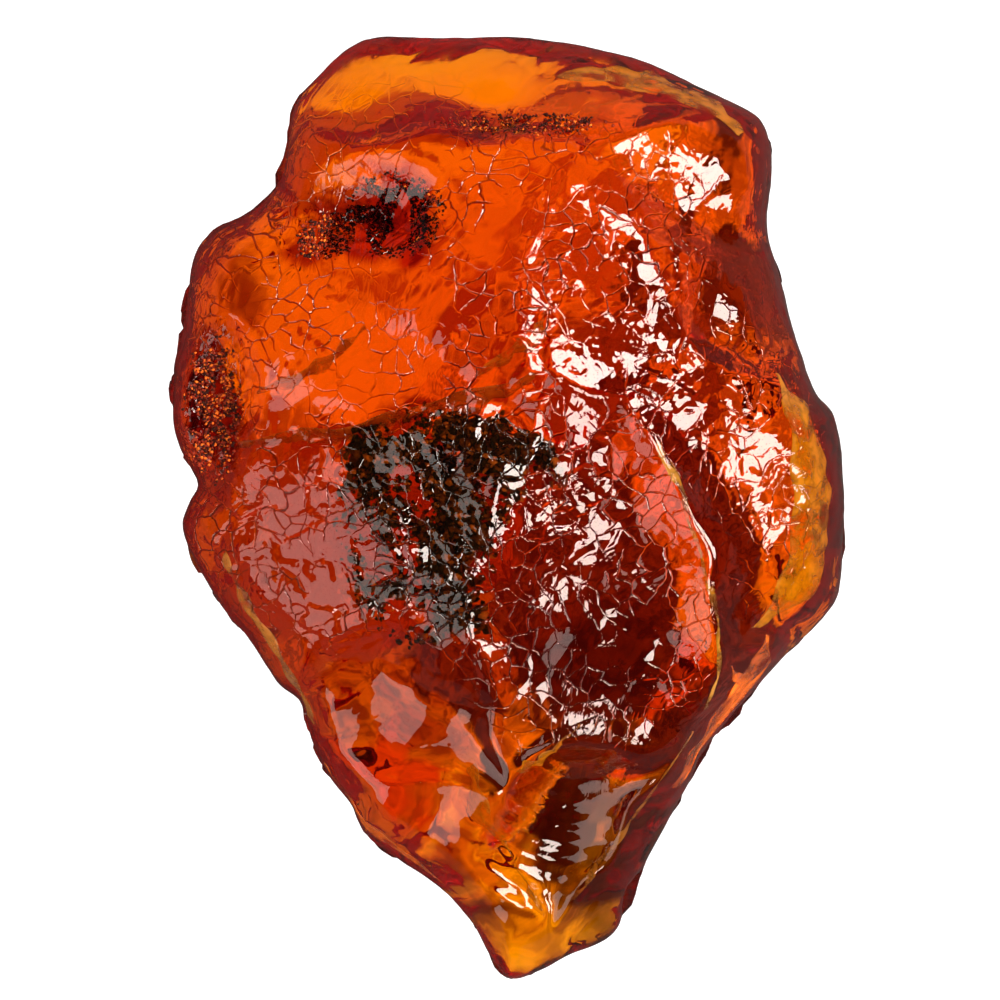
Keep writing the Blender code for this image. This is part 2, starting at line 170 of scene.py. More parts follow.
# Upper faces: how far the middle stands out (below zero is a scar), then the corners
UPPER_FACES = {
    "head_left": (0.4, "rim_head_left rim_head_2 rim_head_1 head_step head_crease"),
    "head_band": (0.3, "rim_head_left head_crease head_foot head_dark rim_head_mid"),
    "head_wedge": (-0.5, "head_crease head_step ledge_left ledge_mid head_foot"),
    "head_ledge": (-0.4, "head_foot ledge_mid ledge_right head_dark"),
    "head_right": (
        0.3,
        "rim_head_mid head_dark ledge_right corner_top rim_corner rim_head_right",
    ),
    "corner": (0.6, "rim_corner corner_top corner_low rim_right_1"),
    "forehead": (
        0.5,
        "ledge_mid ledge_left head_step shoulder_4 shoulder_3 shoulder_2 shoulder_1 "
        "left_2 left_3 left_4 crest_top crest_mid crest_head ledge_right",
    ),
    "slab": (0.3, "ledge_right crest_head crest_mid slab_foot slab_low"),
    "dark_side": (
        -0.9,
        "corner_top ledge_right slab_low right_top right_1 rim_right_3 rim_right_2 "
        "rim_right_1 corner_low",
    ),
    "crazed": (-0.5, "slab_foot crest_mid crest_top ridge_1 right_top slab_low"),
    "middle": (
        -0.6,
        "crest_top left_4 middle_1 middle_2 glass_3 glass_4 scoop_1 scoop_2 ridge_7 "
        "ridge_6 ridge_5 ridge_4 ridge_3 ridge_2 ridge_1",
    ),
    "lip": (
        0.0,
        "ridge_1 ridge_2 ridge_3 ridge_4 ridge_5 ridge_6 lip_6 lip_5 lip_4 lip_3 "
        "lip_2 right_top",
    ),
    "right": (
        -0.5,
        "right_top lip_2 lip_3 lip_4 lip_5 right_4 right_3 right_2 right_1",
    ),
    "right_rim": (
        0.5,
        "right_1 right_2 right_3 rim_right_5 rim_right_4 rim_right_3",
    ),
    "flank": (
        -0.7,
        "right_3 right_4 lip_5 lip_6 rim_flank_2 rim_flank_1 rim_right_5",
    ),
    "tail_facet": (
        -0.6,
        "lip_6 ridge_6 ridge_7 ridge_8 ridge_9 ridge_10 rim_tail_2 rim_tail_1 "
        "rim_flank_2",
    ),
    "tail_scoop": (
        -2.6,
        "scoop_2 scoop_1 scoop_3 ridge_10 ridge_9 ridge_8 ridge_7",
    ),
    "tail_left": (
        0.9,
        "glass_7 rim_left_1 rim_tail_3 rim_tip rim_tail_2 ridge_10 scoop_3 scoop_1 "
        "glass_5 glass_6",
    ),
    "glassy_scar": (
        -1.9,
        "glass_1 glass_7 glass_6 glass_5 scoop_1 glass_4 glass_3 glass_2",
    ),
    "left": (
        0.9,
        "left_4 left_3 left_2 left_1 left_5 glass_1 glass_2 glass_3 middle_2 middle_1",
    ),
    "worn_flank": (
        0.4,
        "left_1 rim_notch rim_left_4 rim_left_3 rim_left_2 rim_left_1 glass_7 glass_1 "
        "left_5",
    ),
    "shoulder": (
        0.8,
        "head_step rim_head_1 rim_step rim_side_3 rim_side_2 rim_side_1 rim_notch "
        "left_1 left_2 shoulder_1 shoulder_2 shoulder_3 shoulder_4",
    ),
}

# Under faces: a point, the slope along x and y, the bend along x and y.
# The stone is what lies above all of them.
UNDER_FACES = {
    "resting_flat": ((0.0, 0.0, -0.35), (0.0, 0.0), (0.0, 0.0)),
    "head_under": ((0.0, 9.5, 0.0), (0.02, 0.11), (0.0, 0.006)),
    "left_under": ((-8.5, 0.0, 0.0), (-0.16, 0.03), (0.007, 0.0)),
    "right_under": ((9.0, 0.0, 0.0), (0.20, -0.04), (0.006, 0.0)),
    "tail_under": ((0.0, -8.5, 0.0), (0.04, -0.12), (0.0, 0.005)),
    "tail_left_under": ((-6.5, -9.5, 0.3), (-0.22, -0.20), (0.0, 0.0)),
    "head_right_under": ((8.5, 11.0, 0.5), (0.20, 0.18), (0.0, 0.0)),
    "head_left_under": ((-9.0, 13.0, 0.6), (-0.16, 0.18), (0.0, 0.0)),
}

# Bowls worn or broken into the stone: centre, half axes and depth. The lip is how far
# out they start, in half axes.
PIT_LIP = 1.25
UPPER_PITS = {
    "eye_pit": ((-8.4, 18.2), (4.4, 3.1), 1.9),
    "side_pit": ((-18.0, 6.6), (2.5, 4.8), 2.6),
}
UNDER_PITS = {
    "shell_scar": ((-5.5, 18.5), (6.5, 5.0), 1.1),
    "edge_chip": ((13.5, 3.0), (4.0, 6.0), 0.8),
    "tail_chip": ((3.0, -21.0), (4.0, 4.5), 0.7),
}

# Waves: height, waves per millimetre along x and y, start
SWELLS = [
    (0.10, (0.62, 0.28), 0.4),
    (0.08, (-0.35, 0.71), 1.9),
    (0.06, (0.95, -0.66), 3.1),
]
EDGE_WANDER = [
    (0.35, (0.45, 0.80), 0.3),
    (0.22, (-1.05, 0.55), 1.2),
]

# The rim, which is the stone's widest line: its mean height, how far and towards which
# angle it rises, and how much higher it is at both sides than at the head and tail
RIM_MEAN = 7.8
RIM_RISE = 1.2
RIM_RISE_ANGLE = 2.9
RIM_SADDLE = 1.4

# How full the sheets are between rim and faces, how worn the edges between the faces
# are, and the square map of the upper faces: its floor, half its side and its cells
UPPER_FULLNESS = 13.0
UNDER_FULLNESS = 9.0
UNDER_EDGE_ROUNDING = 0.35
RIDGE_SMOOTHINGS = 2
MAP_FLOOR = 10.0
MAP_HALF = 34.037
MAP_CELLS = 340
CURVE_STEPS = 10

# The fine grid: cells along x and y on the upper sheet, and where the rim's curl starts
CELLS_X = 270
CELLS_Y = 280
CURL_START = 0.80

# Small hollows where flakes came off: centre, width, depth
FLAKE_SCARS = {
    "head_right_nick": ((13.2, 17.0), 2.4, 0.45),
    "right_nick": ((12.6, 11.0), 2.6, 0.40),
    "flank_nick": ((17.0, -7.6), 2.4, 0.40),
    "tail_nick": ((7.4, -24.6), 2.2, 0.35),
}

# The glassy scar, which has no crazing: centre, half axes, turn
GLASSY_SCAR = ((-7.2, -12.0), (4.6, 4.4), -30)
GLASSY_EDGE = 0.15

# Ripples in fresh breaks: the break's centre, half axes and turn, then the middle of
# the rings, their height and their wavelength
RIPPLES = {
    "tail_scoop": (((3.0, -20.0), (3.6, 6.0), -25), (4.4, -13.5), 0.06, 1.3),
    "glassy_scar": (GLASSY_SCAR, (-12.5, -8.0), 0.035, 2.6),
}

# Fine relief of the upper side: lumps as a size and a height, plates as a size and a
# slant, grooves as a depth and a half width
WORN_LUMPS = (3.5, 0.10)
CRUMPLED_LUMPS = (1.5, 0.035)
PLATE_BEND = 0.35
PLATE_SIZE = 2.1
PLATE_SLANT = 0.05
CRUMPLED_SLANT = 0.11
PLATE_STEP = 0.02
PLATE_GROOVE = (0.035, 0.16)
SMALL_PLATE_SIZE = 1.0
SMALL_PLATE_SLANT = 0.025
SMALL_GROOVE = (0.015, 0.12)
PIT_GRAIN_SIZE = 0.75
PIT_GRAIN_STEP = 0.10
PIT_GRAIN_DOME = 0.20
PIT_GRAIN_FLAT = 0.4

# Fine relief of the under side, in the same way, and where the head calms it
UNDER_LUMPS = (4.0, 0.14)
CHIP_SIZE = 4.5
CHIP_SLANT = 0.12
CHIP_STEP = 0.10
CHIP_GROOVE = (0.10, 0.3)
SMALL_CHIP_SIZE = 1.9
FLAT_FADE = 1.2
CALM_HEAD = ((0.0, 26.0), (18.0, 6.0))
CALM_SHARE = 0.6

# Size of the patches in which the crazing is weaker, and of those where it is worn off
CRAZE_PATCHES = 4.0
WORN_PATCHES = 2.3

# Where the skin is crazed into plates: centre, half axes, strength
CRAZED_SKIN = {
    "forehead": ((-4.0, 14.0), (16.0, 11.0), 1.0),
    "left_face": ((-9.0, -1.0), (12.0, 9.0), 1.0),
    "middle_face": ((5.0, -2.0), (9.0, 12.0), 0.9),
    "crazed_face": ((7.0, 9.0), (6.0, 5.0), 1.0),
    "right_face": ((15.0, 3.0), (5.0, 9.0), 0.6),
}

# Where the skin is crumpled between its cracks, which breaks up what it mirrors
CRUMPLED_SKIN = {
    "crest": ((2.5, 12.0), (2.2, 7.0), 1.0),
    "slab_end": ((6.5, 15.5), (4.0, 4.5), 0.6),
    "crazed_face": ((7.0, 9.0), (5.0, 4.5), 0.9),
    "debris_edge": ((3.6, 1.2), (3.2, 3.2), 0.7),
    "middle_low": ((3.0, -4.5), (1.8, 3.4), 0.5),
    "left_face": ((-11.5, -1.0), (7.0, 6.5), 0.7),
    "heart": ((-4.5, 0.5), (5.0, 5.5), 0.8),
    "right_face": ((14.8, 3.2), (4.8, 6.5), 0.5),
    "dark_side": ((13.0, 13.5), (4.0, 6.5), 0.6),
    "scoop_top": ((5.5, -15.5), (3.0, 2.5), 0.7),
    "head_crust": ((1.0, 23.6), (6.0, 1.2), 0.8),
    "head_right": ((10.0, 21.2), (3.0, 2.6), 1.0),
    "flank": ((13.4, -14.0), (3.0, 4.0), 1.0),
}

# Colours that light takes on at a surface, painted over one another:
# centre, half axes, turn in degrees, colour
HEART_PATCHES = {
    "orange_body": ((0.0, 0.0), (60.0, 60.0), 0, (0.95, 0.82, 0.80)),
    "head_light": ((-1.0, 27.6), (13.0, 4.0), 0, (1.00, 1.00, 1.00)),
    "right_light": ((19.0, -1.0), (4.0, 9.0), 0, (1.00, 1.00, 1.00)),
    "left_brown": ((-14.0, -3.0), (5.0, 9.6), 15, (0.50, 0.26, 0.16)),
    "left_rim_olive": ((-18.6, -3.0), (2.2, 6.0), 20, (0.66, 0.56, 0.36)),
    "shoulder_brown": ((-18.4, 13.0), (3.0, 5.0), 0, (0.34, 0.15, 0.10)),
    "side_red": ((-18.0, 6.0), (3.0, 5.0), 0, (0.50, 0.18, 0.10)),
    "deep_red": ((5.6, -5.4), (9.0, 10.5), 20, (0.22, 0.07, 0.05)),
    "middle_low_dark": ((5.4, -10.4), (6.0, 3.4), 10, (0.14, 0.04, 0.03)),
    "heart_black": ((-5.4, 0.0), (5.6, 6.4), -15, (0.38, 0.10, 0.03)),
    "heart_spur": ((1.4, 2.6), (2.6, 2.2), 0, (0.30, 0.10, 0.06)),
    "glass_brown": ((-6.6, -11.0), (5.4, 5.0), -30, (0.55, 0.30, 0.18)),
    "glass_dark": ((-3.4, -9.0), (3.2, 2.2), -30, (0.30, 0.12, 0.07)),
    "scoop_brown": ((3.9, -19.8), (3.6, 5.6), -25, (0.10, 0.035, 0.02)),
    "tail_facet_olive": ((7.9, -21.0), (2.6, 6.5), -25, (0.26, 0.22, 0.14)),
    "flank_red": ((13.4, -12.0), (3.4, 5.6), -35, (0.90, 0.30, 0.14)),
    "tail_red": ((-7.4, -18.6), (4.6, 3.6), -40, (0.72, 0.16, 0.10)),
    "tail_flame": ((-1.6, -20.8), (2.6, 5.5), 15, (1.00, 0.90, 0.85)),
    "right_dark": ((13.0, 14.0), (5.0, 5.5), 10, (0.26, 0.10, 0.06)),
    "right_orange": ((15.2, 3.5), (4.4, 6.6), 0, (0.90, 0.66, 0.45)),
    "head_right_dark": ((12.4, 20.0), (5.2, 5.0), 0, (0.16, 0.05, 0.03)),
    "corner_dark": ((12.6, 24.4), (3.6, 2.2), -25, (0.20, 0.08, 0.06)),
    "head_right_window": ((10.3, 20.6), (2.0, 2.4), 0, (0.90, 0.60, 0.40)),
    "slab_red": ((5.4, 17.4), (3.2, 3.4), 0, (0.60, 0.32, 0.20)),
    "crazed_brown": ((7.5, 8.5), (4.5, 4.0), 0, (0.34, 0.13, 0.09)),
    "orange_window": ((0.9, 6.6), (2.8, 2.1), 0, (0.90, 0.66, 0.50)),
    "red_spot": ((5.2, 5.0), (1.5, 1.3), 0, (0.70, 0.05, 0.02)),
    "nodule": ((-1.3, 12.2), (2.4, 2.0), 0, (0.42, 0.14, 0.08)),
    "nodule_tail": ((0.6, 16.0), (3.0, 1.8), 35, (0.60, 0.30, 0.18)),
    "ledge_shadow": ((1.6, 23.4), (9.0, 1.3), -2, (0.66, 0.32, 0.22)),
    "eye_ring": ((-8.6, 18.2), (5.0, 3.8), 0, (0.55, 0.26, 0.16)),
    "head_fold": ((-5.6, 24.8), (2.6, 0.9), -50, (0.60, 0.34, 0.22)),
}
SKIN_PATCHES = {
    "eye_floor": ((-7.3, 17.8), (3.0, 2.6), 0, (0.56, 0.11, 0.05)),
    "eye_left": ((-11.2, 17.0), (2.0, 1.6), 30, (0.60, 0.26, 0.20)),
    "eye_streak": ((-8.6, 20.0), (0.9, 1.8), 20, (1.00, 0.85, 0.60)),
    "side_floor": ((-18.2, 6.0), (2.0, 4.3), 0, (0.50, 0.12, 0.07)),
    "ledge_crust": ((1.0, 23.4), (5.2, 0.8), 0, (0.55, 0.26, 0.20)),
    "scoop_stain": ((4.6, -19.8), (2.6, 4.4), -25, (0.60, 0.42, 0.40)),
    "facet_stain": ((8.0, -20.6), (2.2, 5.4), -25, (0.74, 0.66, 0.60)),
    "middle_stain": ((5.6, -8.6), (6.0, 4.0), 10, (0.76, 0.56, 0.55)),
    "shoulder_stain": ((-18.2, 13.4), (2.8, 4.6), 0, (0.80, 0.62, 0.60)),
}

# Where the light from below is mottled by old cracks: centre, half axes, turn, strength
MOTTLED = {
    "whole": ((0.0, 0.0), (60.0, 60.0), 0, 0.30),
    "head": ((0.0, 27.0), (16.0, 4.0), 0, 0.12),
    "forehead": ((-5.0, 12.5), (9.0, 6.5), 0, 0.22),
    "middle": ((5.0, -4.0), (11.0, 13.0), 20, 1.00),
    "glass": ((-6.0, -11.0), (7.0, 5.5), -30, 0.90),
    "tail": ((1.0, -22.0), (9.0, 9.0), -20, 0.60),
    "right_side": ((13.5, 9.0), (6.0, 15.0), 0, 0.85),
    "left_rim": ((-17.5, -4.0), (4.0, 9.0), 15, 0.50),
}

# Fans of bright and dark streaks in the light from below: the bright ones stand in for light
# that inner fractures mirror up, and the dark ones between are painted shade.
# Where they meet, middle of the fan, half axes
FANS = {
    "tail_flames": ((2.4, -11.0), (-1.6, -20.6), (4.6, 7.5)),
    "scoop_fan": ((3.4, -27.5), (3.9, -19.4), (3.6, 6.0)),
    "glass_fan": ((-12.0, -4.0), (-5.8, -11.2), (5.0, 4.4)),
    "left_fan": ((-3.0, 0.0), (-13.5, -3.0), (5.0, 9.0)),
}

# How softly a fan ends, the width of its streaks, how much they change along the radius
# for each step across, how far noise bends them, and the colour of the darkest painted shade
FAN_EDGE = 0.35
FAN_STREAK = 0.8
FAN_STRETCH = 0.18
FAN_BEND = 0.25
FAN_PAINTED_SHADE = (0.50, 0.20, 0.12)

# How softly patches and areas end, and how far noise of that size moves the patches' edges
PATCH_EDGE = 0.22
AREA_EDGE = 0.3
PATCH_WANDER = 1.4
PATCH_NOISE = 3.0

# How light bends into the amber: its index, the reach over which the upper side's slope
# is taken, the steepest slope that counts, and the rounds that find where light enters
AMBER_IOR = 1.54
BEND_REACH = 0.8
STEEPEST = 1.3
BEND_ROUNDS = 10

# Random numbers along each side of a lattice, which repeats after that many cubes
LATTICE = 41

# Width of the finest cracks on the skin, in metres, and how far noise bends their net
CRACK_WIDTH = 0.00008
PATTERN_WANDER = 0.55

# Dark plant debris: centre, half axes, turn, share of the flakes, least and most depth
DEBRIS_CLOUDS = {
    "heart": ((-5.2, 0.3), (4.6, 5.2), -15, 0.66, (0.70, 3.2)),
    "spur": ((0.6, 2.8), (2.4, 1.9), 0, 0.09, (0.60, 2.4)),
    "lower_fringe": ((-5.6, -5.4), (3.8, 2.2), -20, 0.14, (0.60, 2.6)),
    "upper_fringe": ((-5.0, 4.5), (4.8, 1.6), 10, 0.11, (0.60, 2.2)),
}
DEBRIS_COLOURS = [(0.022, 0.005, 0.002), (0.110, 0.020, 0.005), (0.45, 0.09, 0.02)]
DEBRIS_SHARES = [0.50, 0.38, 0.12]

# A flake: its sides, least and most size, half thickness for a size of one, the size of
# the clumps, and the noise below which there are no flakes
DEBRIS_SIDES = 6
DEBRIS_SIZES = (0.07, 0.20)
DEBRIS_FLATNESS = 0.16
DEBRIS_CLUMPS = 1.6
CLUMP_FLOOR = -0.12

# Crust grains: centre, half axes, turn, share of the grains
CRUST_BEDS = {
    "eye_floor": ((-7.0, 17.9), (2.9, 2.5), 0, 0.46),
    "eye_left": ((-11.0, 16.6), (2.0, 1.4), 25, 0.12),
    "side_floor": ((-18.1, 6.2), (1.7, 4.2), 0, 0.30),
    "ledge": ((1.0, 23.5), (5.0, 0.7), 0, 0.12),
}
CRUST_COLOURS = [(0.030, 0.006, 0.004), (0.22, 0.022, 0.008), (0.70, 0.14, 0.015)]
CRUST_SHARES = [0.44, 0.40, 0.16]

# A grain of the crust, in the same way, and how deep it sits in the surface
CRUST_SIDES = 5
CRUST_SIZES = (0.05, 0.15)
CRUST_FLATNESS = 0.8
CRUST_SINK = 0.04
CRUST_CLUMPS = 0.9
CRUST_FLOOR = -0.25

# Old cracks that run down into the stone, and bright films of painted light: highlights
# along the ridge and tail, glows where light passes near the rims and head, and a flare
# at the scoop. Points along the top, depth, lean, colour
CRACKS_AND_GLOWS = {
    "heart_edge": (
        [(-17.2, 4.0), (-13.5, 4.9), (-10.0, 5.0), (-6.2, 6.2), (-2.4, 7.2), (1.8, 8.4)],
        3.2, (0.10, -0.45), (0.55, 0.09, 0.02),
    ),
    "forehead_crack": (
        [(-15.5, 7.4), (-13.2, 8.2), (-10.8, 9.6), (-8.6, 11.2)],
        2.6, (0.15, -0.40), (0.65, 0.14, 0.03),
    ),
    "orange_edge": (
        [(-2.2, 8.2), (-0.6, 9.4), (1.2, 10.6), (2.2, 12.0)],
        2.2, (0.30, -0.35), (0.70, 0.16, 0.03),
    ),
    "tail_blade": (
        [(-2.0, -15.6), (-1.0, -19.0), (0.6, -22.4), (2.3, -25.5)],
        3.6, (-0.35, 0.10), (0.85, 0.30, 0.05),
    ),
    "flank_crack": (
        [(13.4, -9.6), (14.4, -11.6), (13.2, -14.2), (11.6, -17.0)],
        3.0, (0.35, 0.10), (0.85, 0.16, 0.02),
    ),
    # Painted light from here on: bright films in place of light along the ridge, rims and
    # scoop
    "ridge_painted_highlight": (
        [(8.6, 4.4), (10.2, 1.4), (11.4, -2.0), (12.4, -5.8), (12.9, -9.6), (11.9, -12.6)],
        0.45, (0.16, 0.03), (0.95, 0.50, 0.10),
    ),
    "tail_painted_highlight": (
        [(11.4, -13.6), (9.6, -16.4), (7.6, -19.4), (5.6, -22.4), (3.2, -25.2)],
        0.45, (0.12, 0.06), (0.80, 0.36, 0.08),
    ),
    "rim_glow": (
        [(16.0, 8.4), (16.9, 5.4), (17.2, 2.0), (17.2, -1.6), (16.4, -4.8), (14.6, -7.6)],
        4.6, (0.58, -0.03), (0.90, 0.36, 0.02),
    ),
    "head_glow": (
        [(2.6, 26.4), (6.0, 26.2), (9.4, 25.4), (12.4, 24.2), (14.4, 22.6)],
        4.0, (0.12, 0.50), (0.85, 0.30, 0.02),
    ),
    "flank_glow": (
        [(15.8, -7.6), (14.6, -9.8), (13.0, -12.2), (11.4, -14.8), (9.8, -17.6)],
        3.6, (0.52, -0.30), (0.90, 0.18, 0.02),
    ),
    "tail_left_glow": (
        [(-11.6, -15.6), (-10.0, -18.0), (-7.8, -20.2), (-5.0, -22.4), (-2.8, -25.0)],
        2.8, (-0.38, -0.34), (0.80, 0.16, 0.02),
    ),
    "left_glow": (
        [(-17.4, -2.4), (-16.0, -5.2), (-14.2, -8.0), (-12.6, -11.0), (-11.8, -13.6)],
        1.2, (-0.55, -0.25), (0.55, 0.20, 0.03),
    ),
    "scoop_flare": (
        [(4.4, -13.2), (2.4, -14.8), (0.2, -16.0)],
        1.6, (-0.20, -0.30), (0.95, 0.42, 0.06),
    ),
}
CRACK_STEPS = 60
CRACK_ROWS = 8

# The outermost spread that a film reaches, the amber left over it, its wave, its half
# thickness in the middle and at the edges, and the steps that its route is averaged over
FILM_SPREAD = 0.97
FILM_COVER = 0.25
FILM_WAVE = 0.12
FILM_THICK = 0.05
FILM_THIN = 0.004
FILM_SOFTENING = 9


# Colours in the materials, with full alpha, and scales of their noise in waves per metre
WHITE = (1.0, 1.0, 1.0, 1.0)
CRACK_STAIN = (0.05, 0.006, 0.004, 1.0)
PIT_STAIN = (0.25, 0.05, 0.04, 1.0)
STREAK_STAIN = (0.16, 0.045, 0.03, 1.0)
SKIN_GRAIN_SCALE = 1500.0
STREAK_SCALE = 560.0
GRIT_SCALE = 4000.0
GRIT_DEPTH = 0.00003
STAIN_SCALE = 700.0


def outline_curve():
    """The outline as a closed smooth curve through its points (Catmull-Rom spans)."""
    points = np.array(OUTLINE)
    before = np.roll(points, 1, axis=0)[:, None]
    after = np.roll(points, -1, axis=0)[:, None]
    beyond = np.roll(points, -2, axis=0)[:, None]
    start = points[:, None]
    t = np.linspace(0.0, 1.0, CURVE_STEPS, endpoint=False)[None, :, None]
    curve = 0.5 * (
        2 * start
        + (after - before) * t
        + (2 * before - 5 * start + 4 * after - beyond) * t**2
        + (3 * start - before - 3 * after + beyond) * t**3
    )
    return curve.reshape(-1, 2)


def reach(angle):
    """How far the outline is from the middle, at each angle round the stone."""
    curve = outline_curve()
    angles = np.arctan2(curve[:, 1], curve[:, 0])
    return np.interp(angle, angles, np.hypot(*curve.T), period=2 * np.pi)


def rim_height(angle):
    """Height of the rim: mean + rise cos(angle - rise angle) + saddle cos(2 angle)."""
    rise = RIM_RISE * np.cos(angle - RIM_RISE_ANGLE)
    return RIM_MEAN + rise + RIM_SADDLE * np.cos(2 * angle)


def wave(waves, x, y):
    """The sum of straight waves, each a sine of its count along x and y and its start."""
    return sum(size * np.sin(wx * x + wy * y + start) for size, (wx, wy), start in waves)


def face_patch(corners, x, y):
    """The height of one face where it covers the map, and which map points it covers.

    Mean value weights spread the corner heights smoothly over the face. One over their
    sum grows with the distance from the face's edges, and carries the dome or hollow.
    """
    to_corner = corners[:, :2, None] - np.stack([x, y])[None]
    away = np.hypot(to_corner[:, 0], to_corner[:, 1])
    to_next = np.roll(to_corner, -1, axis=0)
    cross = to_corner[:, 0] * to_next[:, 1] - to_corner[:, 1] * to_next[:, 0]
    dot = (to_corner * to_next).sum(axis=1)
    half_turn = cross / (away * np.roll(away, -1, axis=0) + dot)
    weight = (half_turn + np.roll(half_turn, 1, axis=0)) / away
    covered = np.arctan2(cross, dot).sum(axis=0) > np.pi
    height = (weight * corners[:, 2:]).sum(axis=0) / weight.sum(axis=0)
    return height, 1.0 / weight.sum(axis=0), covered


@functools.lru_cache(maxsize=1)
def upper_map():
    """Heights of all upper faces on a square map, with the ridges between them worn."""
    line = np.linspace(-MAP_HALF, MAP_HALF, MAP_CELLS + 1)
    y, x = np.meshgrid(line, line, indexing="ij")
    heights = np.full(x.shape, MAP_FLOOR)
    for rise, names in UPPER_FACES.values():
        corners = np.array([CORNERS[name] for name in names.split()])
        ahead = np.roll(corners, -1, axis=0)
        turn = (corners[:, 0] * ahead[:, 1] - corners[:, 1] * ahead[:, 0]).sum()
        if turn < 0.0:
            corners = corners[::-1]
        height, inward, covered = face_patch(corners, x.ravel(), y.ravel())
        height = height + rise * inward / inward[covered].max()
        heights.ravel()[covered] = height[covered]
    for _ in range(RIDGE_SMOOTHINGS):
        for axis in (0, 1):
            near = np.roll(heights, 1, axis) + np.roll(heights, -1, axis)
            heights = 0.5 * heights + 0.25 * near
    return heights


def read_map(heights, x, y):
    """Heights between the points of the map, by straight lines along x and y."""
    across = (x + MAP_HALF) / (2 * MAP_HALF) * MAP_CELLS
    along = (y + MAP_HALF) / (2 * MAP_HALF) * MAP_CELLS
    i = np.clip(across.astype(int), 0, MAP_CELLS - 1)
    j = np.clip(along.astype(int), 0, MAP_CELLS - 1)
    u = across - i
    v = along - j
    near = heights[j, i] * (1 - u) + heights[j, i + 1] * u
    far = heights[j + 1, i] * (1 - u) + heights[j + 1, i + 1] * u
    return near * (1 - v) + far * v


def pit_depth(pits, x, y):
    """Bowl-shaped pits with a soft lip and a flat-bottomed middle."""
    depth = np.zeros_like(x)
    for (x0, y0), (half_x, half_y), deep in pits.values():
        away = np.hypot((x - x0) / half_x, (y - y0) / half_y)
        bowl = np.clip(PIT_LIP - away, 0.0, 1.0)
        depth += deep * bowl**2 * (3 - 2 * bowl)
    return depth


def upper_height(x, y):
    """Height of the upper faces, their edges wandering, with the swells and the pits."""
    wander_x = wave(EDGE_WANDER, x, y)
    wander_y = wave(EDGE_WANDER, -y, x)
    faces = read_map(upper_map(), x + wander_x, y + wander_y)
    return faces + wave(SWELLS, x, y) - pit_depth(UPPER_PITS, x, y)


def under_height(x, y):
    """The highest of the under faces, with the edges between them rounded off."""
    heights = []
    for (x0, y0, z0), (slope_x, slope_y), (bend_x, bend_y) in UNDER_FACES.values():
        dx = x - x0
        dy = y - y0
        bend = 0.5 * (bend_x * dx**2 + bend_y * dy**2)
        heights.append(z0 + slope_x * dx + slope_y * dy + bend)
    top = np.max(heights, axis=0)
    spread = np.exp((np.array(heights) - top) / UNDER_EDGE_ROUNDING).sum(axis=0)
    return top + UNDER_EDGE_ROUNDING * np.log(spread) + pit_depth(UNDER_PITS, x, y)


def smooth_step(value):
    """Rises from 0 to 1 as the value does, level at both ends."""
    t = np.clip(value, 0.0, 1.0)
    return t * t * (3.0 - 2.0 * t)


def noise(points, size, seed):
    """Smooth random values from -1 to 1.

    Random numbers sit on a lattice of cubes of the given size, and each point blends
    the numbers at its cube's eight corners by smooth steps along the cube's sides.
    """
    numbers = np.random.default_rng(seed).uniform(-1.0, 1.0, (LATTICE,) * 3)
    place = points / size
    cube = np.floor(place).astype(int)
    t = smooth_step(place - cube)
    total = np.zeros(len(points))
    for corner in np.ndindex(2, 2, 2):
        weight = np.prod(np.where(np.array(corner, bool), t, 1.0 - t), axis=1)
        i, j, k = ((cube + corner) % LATTICE).T
        total += weight * numbers[i, j, k]
    return total


def rough_noise(points, size, seed, octaves=4):
    """Noise, plus finer noise at half the size and half the height, and so on."""
    return sum(
        0.5**step * noise(points, size * 0.5**step, seed + step) for step in range(octaves)
    )


def plates(points, size, seed):
    """Splits space into random cells and returns what a crazed skin needs.

    One random centre lies in each cube of the given size. The nearest centre owns a
    point. The edge is half the difference between the distances to the two nearest
    centres, which is zero on the border. Tilt is the height of the owner's plate over
    its centre, for a random slope, and the draw is one random number per plate.
    """
    random = np.random.default_rng(seed)
    centres = random.uniform(0.0, 1.0, (LATTICE,) * 3 + (3,))
    slopes = random.uniform(-1.0, 1.0, (LATTICE,) * 3 + (3,))
    draws = random.uniform(-1.0, 1.0, (LATTICE,) * 3)
    place = points / size
    cube = np.floor(place).astype(int)
    nearest = np.full(len(points), 9.0)
    second = np.full(len(points), 9.0)
    tilt = np.zeros(len(points))
    draw = np.zeros(len(points))
    for step in np.ndindex(3, 3, 3):
        there = cube + step - 1
        i, j, k = (there % LATTICE).T
        offset = place - (there + centres[i, j, k])
        away = np.sqrt((offset**2).sum(axis=1))
        closer = away < nearest
        second = np.where(closer, nearest, np.minimum(second, away))
        nearest = np.where(closer, away, nearest)
        tilt = np.where(closer, (offset * slopes[i, j, k]).sum(axis=1), tilt)
        draw = np.where(closer, draws[i, j, k], draw)
    return 0.5 * (second - nearest) * size, tilt * size, draw


def ellipse_mask(x, y, centre, half_axes, turn=0.0, edge=PATCH_EDGE):
    """1 inside a turned ellipse and 0 outside, with an edge that fades."""
    angle = math.radians(turn)
    dx = x - centre[0]
    dy = y - centre[1]
    across = (dx * math.cos(angle) + dy * math.sin(angle)) / half_axes[0]
    along = (dy * math.cos(angle) - dx * math.sin(angle)) / half_axes[1]
    return smooth_step((1.0 + edge - np.hypot(across, along)) / (2 * edge))


def paint(points, patches):
    """Colours of the points: each patch is laid over those before it.

    Its edge wanders by noise. The shader takes the root of a colour at each surface
    that light crosses, so the colours are squared.
    """
    x = points[:, 0] + PATCH_WANDER * rough_noise(points, PATCH_NOISE, 71)
    y = points[:, 1] + PATCH_WANDER * rough_noise(points, PATCH_NOISE, 81)
    colours = np.ones((len(points), 3))
    for centre, half_axes, turn, colour in patches.values():
        mask = ellipse_mask(x, y, centre, half_axes, turn)[:, None]
        colours = colours * (1.0 - mask) + np.array(colour) * mask
    return colours**2


